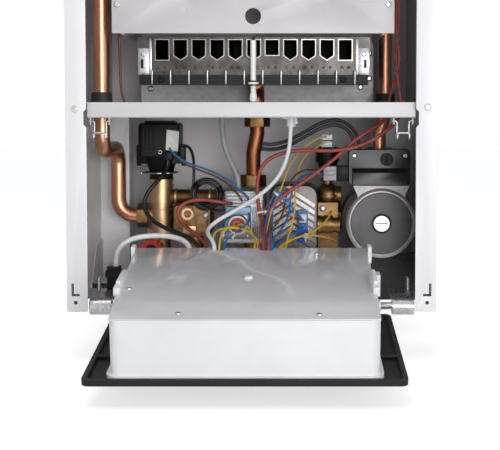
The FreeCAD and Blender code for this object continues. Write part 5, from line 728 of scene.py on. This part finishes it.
# Leads and hoses: node, sleeve, slot, diameter, length, whether it runs to the control box, and the route in
# millimetres as in the CAD
LEADS = [
    ("mains_cable", "white_sleeve", "white_lead", 6.0, 151, True,
     [(-158, -232, 40), (-158, -232, 52), (-153, -233, 63), (-142, -231, 70.5), (-126, -227, 74),
      (-104, -226, 74.5), (-84, -233, 72), (-73, -249, 67), (-69, -266, 60), (-68, -281.3, 53.5)]),
    ("motor_cable", "black_sleeve", "black_lead", 5.0, 216, True,
     [(-106, -158.5, 163), (-106, -158.5, 152), (-110, -166, 141), (-119.5, -175, 131), (-129, -180, 120),
      (-133, -184, 106), (-125.5, -190, 91), (-106, -200, 80), (-84, -216, 75), (-66, -240, 69),
      (-58, -263, 61), (-55, -281.3, 53.5)]),
    ("red_leads", "red_sleeve", "red_lead", 4.4, 187, True,
     [(-28, -182, 108), (-28, -190, 108), (-35, -197, 109.5), (-47, -199.5, 112), (-61, -200, 114),
      (-77, -200, 112.5), (-89, -202, 105), (-90, -204, 94), (-82, -208, 84), (-68, -222, 76),
      (-55, -243, 69), (-48, -264, 62), (-46, -281.5, 53.5)]),
    ("red_leads", "red_sleeve", "red_lead", 4.4, 341, True,
     [(171, -203, 226), (171, -203, 213), (162, -205, 201), (149, -206, 191), (133, -207, 181),
      (114, -207, 174), (88, -208, 171), (61.5, -207, 172.5), (36, -206, 170), (16, -206, 162),
      (6.5, -206, 149), (3, -206, 132), (4, -207, 114), (7, -211, 97), (10.5, -225, 85), (12, -248, 79),
      (12, -270, 75), (12, -291, 60)]),
    ("red_leads", "red_sleeve", "red_lead", 4.4, 283, True,
     [(158, -187, 226), (158, -187, 214), (150, -192, 204), (136, -196, 195), (118, -200, 184),
      (98, -201, 165), (81.5, -203, 152), (65, -205, 140), (48.5, -206, 129), (31, -209, 117),
      (19, -213, 104), (17, -222, 91), (18, -244, 83), (18, -268, 77), (18, -291, 60)]),
    ("ignition_lead", "white_sleeve", "white_lead", 4.6, 259, True,
     [(43, -228, 226), (43, -228, 211), (42.5, -227.5, 196), (41.5, -225, 178), (37, -222, 158),
      (27, -220, 139), (10, -218.5, 122.5), (-8, -217, 110.5), (-27, -217, 99.5), (-44, -219, 90),
      (-53, -231, 82), (-51, -250, 78.5), (-45, -268, 74.5), (-40.8, -281, 68.5), (-40.5, -291, 60)]),
    ("grey_hose", "grey_sleeve", "grey_lead", 6.4, 107, False,
     [(-41, -150, 226), (-41, -150, 211), (-40.5, -152, 192), (-37, -156, 171), (-28, -161, 152),
      (-20.5, -163, 137), (-20.5, -163, 124)]),
    ("dark_hoses", "slate_sleeve", "black_lead", 4.6, 196, False,
     [(6.35, -119, 170.8), (14.2, -119, 169.25), (29, -124, 171), (45, -133, 177), (62, -140, 187),
      (79, -141, 197), (97, -139, 202), (112, -138, 196), (120.5, -138, 182), (122, -139, 163),
      (119, -139, 144), (115.9, -139, 131.2), (123, -139, 121.5)]),
    ("dark_hoses", "slate_sleeve", "black_lead", 4.6, 200, False,
     [(7.55, -119, 176.8), (15.4, -119, 175.25), (29, -118, 177.5), (45, -124, 183), (62, -130, 193),
      (79, -132, 203), (98, -131, 208), (116, -130, 201), (126, -130, 186), (128, -130, 166),
      (124, -130, 147), (119.7, -130, 133.8), (126, -130, 123.6)]),
    ("harness_leads", "brown_sleeve", "blue_lead", 2.4, 123, False,
     [(-99, -162, 168), (-99, -169, 168), (-93, -173, 161), (-82, -174, 153), (-66, -174, 146.5),
      (-49, -176, 141), (-34, -181, 132.5), (-23, -189.5, 122.5), (-17, -193, 116), (-15, -190, 111),
      (-15, -182, 111)]),
    ("harness_leads", "blue_sleeve", "blue_lead", 2.4, 138, False,
     [(-103, -162, 173), (-103, -170, 173), (-97, -177, 166), (-84, -180, 157), (-66, -180, 151),
      (-47, -181.5, 144.5), (-29, -185.5, 134), (-15, -191, 122), (-8, -194, 116), (-6, -190.5, 110.5),
      (-6, -182, 110.5)]),
    ("harness_leads", "blue_sleeve", "blue_lead", 2.2, 177, True,
     [(81.5, -176, 143), (73, -176, 143), (63, -184, 143), (52.5, -195, 139), (44.5, -200.5, 127),
      (42, -203, 110), (40, -211, 95), (33, -227, 83), (26, -248, 77.5), (22.5, -270, 74), (22, -291, 60)]),
    ("harness_leads", "brown_sleeve", "blue_lead", 2.2, 183, True,
     [(81.5, -170.5, 147), (73, -170.5, 147), (61, -180, 148), (49, -192, 144), (40, -200, 131),
      (36.5, -203, 114), (34, -212, 99), (27, -230, 88), (20, -250, 84.5), (15, -271, 80.5),
      (15, -291, 64.5)]),
    ("harness_leads", "yellow_sleeve", "blue_lead", 2.0, 211, True,
     [(86, -141, 180), (86, -149, 180), (79, -157, 176.5), (66, -163, 169), (55, -172, 157),
      (49.5, -186, 141), (47.5, -199, 123), (48, -206, 107), (46, -214, 93), (42, -228, 80), (38, -246, 70),
      (36.5, -265, 61), (36, -282, 53.5)]),
    ("harness_leads", "yellow_sleeve", "blue_lead", 2.4, 96, True,
     [(-20, -204, 83), (-20, -212, 83), (-24, -222, 84.5), (-30, -234, 84), (-35, -251, 79.5),
      (-36, -272, 75), (-36, -291, 60)]),
    ("harness_leads", "blue_sleeve", "blue_lead", 2.4, 119, True,
     [(-8, -186, 99), (-8, -194, 99), (-5, -204, 96), (-5, -216, 90), (-13, -231, 84), (-24, -249, 78),
      (-31.5, -270, 72.5), (-32, -291, 59)]),
    ("harness_leads", "yellow_sleeve", "blue_lead", 2.2, 155, True,
     [(92, -155, 96), (92, -163, 96), (89, -174, 91.5), (80, -189, 82), (67, -204, 75), (53, -217, 72),
      (41, -232, 69), (33, -249, 64), (30, -266, 58.5), (30, -282.5, 52)]),
    ("harness_leads", "blue_sleeve", "blue_lead", 2.2, 107, True,
     [(57, -190, 80.5), (57, -198, 80.5), (52, -206, 77), (42, -218, 72), (30, -234, 68), (23, -250, 64),
      (22, -266, 58.5), (22.5, -282.5, 52)]),
    ("harness_leads", "blue_sleeve", "blue_lead", 2.2, 114, True,
     [(-30, -186, 92), (-30, -194, 92), (-35, -206, 88), (-39.5, -222, 83.5), (-41, -240, 78),
      (-40, -257, 73), (-37.5, -274, 68.5), (-36.8, -291, 56.5)]),
    # Only seen: the thin leads about the gas valve, the plates and the flow sensor
    ("vent_lead", "yellow_sleeve", "blue_lead", 1.8, 222, True,
     [(87, -149.5, 186), (85, -156, 187), (76, -161, 184.5), (64, -165, 178), (53, -175, 168),
      (43, -188, 156), (37, -198, 143), (33, -205, 131), (27, -209.5, 118), (21, -214, 104),
      (17.5, -225, 92), (16, -246, 83.5), (15.5, -268, 77.5), (15.5, -291, 60)]),
    ("sensor_leads", "blue_sleeve", "blue_lead", 2.0, 161, True,
     [(55, -196, 92), (53, -204, 94), (47, -208, 102), (39, -209, 113), (31.5, -208.5, 122.5),
      (25, -208.5, 123.5), (20, -210, 115), (16.5, -213.5, 104), (14.5, -224, 94), (13.5, -246, 84),
      (13.5, -268, 78.5), (13.5, -291, 61)]),
    ("sensor_leads", "blue_sleeve", "blue_lead", 2.0, 157, True,
     [(58, -196, 89), (57, -204, 90), (50, -210, 95), (41, -211.5, 104), (34, -211, 115.5),
      (28, -210.5, 120.5), (23.5, -212, 112), (21.5, -215, 101.5), (21, -226, 92), (21, -247, 83),
      (21, -268, 77), (21, -291, 60.5)]),
    ("sensor_leads", "red_sleeve", "red_lead", 2.0, 160, True,
     [(54, -196, 89), (50, -204, 89.5), (41, -207, 95), (33.5, -206.5, 106), (28.5, -206, 117.5),
      (24, -206, 120.5), (18.5, -208, 113), (12.5, -212.5, 103.5), (9, -225, 93), (8, -247, 83),
      (8, -268, 77), (8, -291, 60.5)]),
    ("coil_leads", "yellow_sleeve", "blue_lead", 2.4, 98, True,
     [(-20, -204.3, 83), (-20, -211, 84), (-15.5, -218, 86.5), (-8.5, -224, 85.5), (-3, -231, 80.5),
      (0.5, -243, 75), (2.5, -257, 71.5), (3, -273, 68), (3, -290, 59)]),
    ("coil_leads", "yellow_sleeve", "blue_lead", 2.2, 153, True,
     [(-39.5, -290, 59), (-43, -274, 70), (-44.5, -258, 77), (-42, -243, 81.5), (-33, -234, 84),
      (-20, -231.5, 84), (-8, -235, 81.5), (0, -245, 77), (5, -259, 73), (6.5, -274, 69), (6.5, -290, 59)]),
    ("earth_lead", "yellow_sleeve", "blue_lead", 2.2, 151, True,
     [(97, -160, 60), (96, -168, 62), (89, -180, 66), (79, -193, 69.5), (68, -205, 72), (57, -215, 72.5),
      (46, -227, 71), (36, -240, 67.5), (28.5, -254, 63.5), (26, -268, 58.5), (26, -283, 52)]),
    # Only seen: the leads that run on above the shelf beside the chamber
    ("chamber_lead", "brown_sleeve", "black_lead", 3.0, 167, False,
     [(-152, -197, 227.2), (-156, -198, 240), (-156.5, -199, 262), (-157, -200, 290), (-158, -200, 320),
      (-157, -199, 350), (-155, -199.5, 378), (-148, -200, 392)]),
    ("switch_leads", "red_sleeve", "red_lead", 3.4, 338, False,
     [(171, -203, 227.2), (170, -203, 240), (166, -200, 262), (165.5, -200, 289), (168.5, -199, 316),
      (167, -195, 400), (165, -185, 480), (160, -170, 540), (158, -166, 562)]),
    ("switch_leads", "red_sleeve", "red_lead", 3.4, 342, False,
     [(158, -187, 227.2), (162, -194, 246), (168.5, -203, 268), (169, -203, 288), (164, -198, 312),
      (170.5, -196, 400), (170, -184, 480), (167, -170, 540), (166, -166, 562)]),
]

# Coil of spare black lead: three and a quarter turns about the Y axis, with the tails of the CAD
SPARE_POINTS = 12
SPARE_STEPS = 39
SPARE_PITCH = 4.4
SPARE_START = [(-92, -150, 176), (-83, -150, 176), (-77, -155, 168), (-74.5, -161, 156), (-74, -166, 143),
               (-74.5, -167.5, 130)]
SPARE_END = [(-50, -186, 100.5), (-43, -193, 100.2), (-36, -196.5, 100), (-31, -194, 100), (-31, -186, 100)]


def coil_route():
    x, y, z = SPARE_CENTRE
    turns = []
    for step in range(SPARE_STEPS + 1):
        angle = math.pi + step * 2 * math.pi / SPARE_POINTS
        turns.append((x + SPARE_RADIUS * math.cos(angle), y - SPARE_PITCH * step / SPARE_POINTS,
                      z + SPARE_RADIUS * math.sin(angle)))
    return SPARE_START + turns + SPARE_END


LEADS.append(("coil_lead", "black_sleeve", "black_lead", 3.4, 437, False, coil_route()))


def lead(name, node, sleeve, slot, diameter, length, bends, route):
    # A tube on a smooth curve, which stands for its CAD node where it has one
    curve = bpy.data.curves.new(name + "_line", "CURVE")
    curve.dimensions = "3D"
    curve.resolution_u = 6
    spline = curve.splines.new("NURBS")
    spline.points.add(len(route) - 1)
    for point, place in zip(spline.points, route):
        point.co = (*(Vector(place) * MM), 1)
    spline.order_u = 3
    spline.use_endpoint_u = True
    line = bpy.data.objects.new(name + "_line", curve)
    bpy.context.collection.objects.link(line)
    bpy.context.view_layer.update()
    path = [tuple(v.co) for v in bpy.data.meshes.new_from_object(line).vertices]
    curve.bevel_depth = diameter * MM / 2
    curve.bevel_resolution = 4
    curve.use_fill_caps = True
    bpy.context.view_layer.update()
    mesh = bpy.data.meshes.new_from_object(line.evaluated_get(bpy.context.evaluated_depsgraph_get()))
    bpy.data.objects.remove(line)
    tube = shown(name, mesh, sleeve, "boiler", bends)
    if node in frame["nodes"]:
        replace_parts(tube, node)


counts = {}
for row in LEADS:
    counts[row[0]] = counts.get(row[0], 0) + 1
    lead(f"{row[0]}_{counts[row[0]]}", *row)

# Nylon cable ties: place, way of the leads, half width, half depth, and whether they are left unparented like the
# leads that run to the control box
TIES = [((12.5, -212.5, 100), (0.12, -0.25, -0.96), 9.4, 4.6, False),
        ((43.8, -199, 127), (-0.2, -0.2, -0.96), 6.6, 4.4, False),
        ((60, -211, 73.5), (-0.72, -0.67, -0.15), 1.9, 1.9, False),
        ((-34.3, -248, 80.2), (-0.3, -0.95, -0.2), 1.9, 1.9, True),
        ((-22.6, -246.5, 79), (-0.5, -0.83, -0.27), 1.9, 1.9, True),
        ((26, -208.3, 120.5), (-0.7, -0.1, -0.7), 4.4, 3.8, False)]
BAND_HALF, BAND_THICK = 1.1, 0.7
HEAD_HALF, HEAD_BACK, HEAD_FRONT = 1.8, -0.2, 2.6
TAIL_HALF, TAIL_WIDE, TAIL_BACK, TAIL_FRONT, TAIL_EDGE = 0.4, 1.0, 2, 6.5, 0.25
for number, (place, way, wide, deep, bends) in enumerate(TIES, 1):
    way = Vector(way).normalized()
    across = (RIGHT - way * RIGHT.dot(way)).normalized()
    out = across.cross(way)
    turn = Matrix.Translation(Vector(place) * MM) @ Matrix((across, out, way)).transposed().to_4x4()
    tie = bmesh.new()
    turned(tie, (0, 0, -BAND_HALF), UP, [(1, 0), (1, BAND_HALF * 2)], steps=32)
    for vert in tie.verts:
        vert.co = turn @ Vector((vert.co.x * wide, vert.co.y * deep, vert.co.z))
    bmesh.ops.recalc_face_normals(tie, faces=tie.faces)
    bmesh.ops.solidify(tie, geom=tie.faces, thickness=-BAND_THICK * MM)
    head = ((-HEAD_HALF, deep + HEAD_BACK, -HEAD_HALF), (HEAD_HALF, deep + HEAD_FRONT, HEAD_HALF), CLIP_EDGE)
    tail = ((-TAIL_HALF, deep + TAIL_BACK, -TAIL_WIDE), (TAIL_HALF, deep + TAIL_FRONT, TAIL_WIDE), TAIL_EDGE)
    block(tie, *head, turn)
    block(tie, *tail, turn)
    piece(f"cable_tie_{number}", tie, "white_plastic", "cable_clamp", bends)

# Floor, lights and camera, in metres and watts
FLOOR_HALF = 6.0
FLOOR_DROP = 0.02
FLOOR_GLOW = 0.6
ROOM_LIGHT = 0.38
CAMERA_TILT = 0.0468
# Name, place, target, size and power
LAMPS = [("key_front", (0.55, -2.25, 0.32), (0, -0.2, 0.15), (1.0, 0.6), 19),
         ("top", (-0.3, -1.0, 1.6), (0, -0.25, 0.1), (0.9, 0.9), 5),
         ("side_right", (1.5, -1.1, 0.8), (0, -0.2, 0.15), (0.9, 0.9), 1.5)]
floor_bm = bmesh.new()
bmesh.ops.create_grid(floor_bm, x_segments=1, y_segments=1, size=FLOOR_HALF)
bmesh.ops.translate(floor_bm, verts=floor_bm.verts, vec=(0, 0, cad_box[0][2] - FLOOR_DROP))
floor_mesh = bpy.data.meshes.new("floor")
floor_bm.to_mesh(floor_mesh)
floor_bm.free()
floor = bpy.data.objects.new("floor", floor_mesh)
bpy.context.collection.objects.link(floor)
# White paper that glows for the camera, so that it stays white and still takes a faint shadow
paper = surface("white_floor", "#F6F6F6", "#FBFBFB", 0.0, (0.85, 0.95), 300, 20, 0.0,
                Emission_Color=(1, 1, 1, 1))
floor_mesh.materials.append(paper)


def seen_rays(tree):
    # One for rays from the camera and those that reach it by a mirror or through glass
    rays = add(tree, "ShaderNodeLightPath", {})
    either = add(tree, "ShaderNodeMath", {"operation": "MAXIMUM"},
                 [(0, rays.outputs["Is Camera Ray"]), (1, rays.outputs["Is Glossy Ray"])])
    return add(tree, "ShaderNodeMath", {"operation": "MAXIMUM"},
               [(0, either.outputs[0]), (1, rays.outputs["Is Transmission Ray"])]).outputs[0]


tree = paper.node_tree
glow = add(tree, "ShaderNodeMath", {"operation": "MULTIPLY", 1: FLOOR_GLOW}, [(0, seen_rays(tree))])
tree.links.new(glow.outputs[0], tree.nodes["Principled BSDF"].inputs["Emission Strength"])

world = bpy.data.worlds.new("studio")
world.use_nodes = True
bpy.context.scene.world = world
tree = world.node_tree
soft = tree.nodes["Background"]
soft.inputs["Color"].default_value = linear("#F4F6F8")
soft.inputs["Strength"].default_value = ROOM_LIGHT
white = add(tree, "ShaderNodeBackground", {"Color": (1, 1, 1, 1), "Strength": 1.0})
seen = add(tree, "ShaderNodeMixShader", {},
           [(0, seen_rays(tree)), (1, soft.outputs[0]), (2, white.outputs[0])])
tree.links.new(seen.outputs[0], tree.nodes["World Output"].inputs["Surface"])


def lamp(name, place, target, size, power):
    data = bpy.data.lights.new(name, "AREA")
    data.shape = "RECTANGLE"
    data.size, data.size_y = size
    data.energy = power
    light = bpy.data.objects.new(name, data)
    light.location = place
    light.rotation_euler = (Vector(target) - Vector(place)).to_track_quat("-Z", "Y").to_euler()
    bpy.context.collection.objects.link(light)


for row in LAMPS:
    lamp(*row)

camera_data = bpy.data.cameras.new("camera")
camera_data.sensor_fit = "HORIZONTAL"
camera_data.sensor_width = 36.0
camera_data.lens = 75.6
camera_data.shift_x = -0.08
camera_data.shift_y = -0.1316
camera_data.clip_start = 0.05
camera = bpy.data.objects.new("camera", camera_data)
camera.location = (0.0418, -1.4299, 0.2188)
camera.rotation_euler = (math.pi / 2 - CAMERA_TILT, 0, 0)
bpy.context.collection.objects.link(camera)
scene = bpy.context.scene
scene.camera = camera
scene.view_settings.view_transform = "Standard"
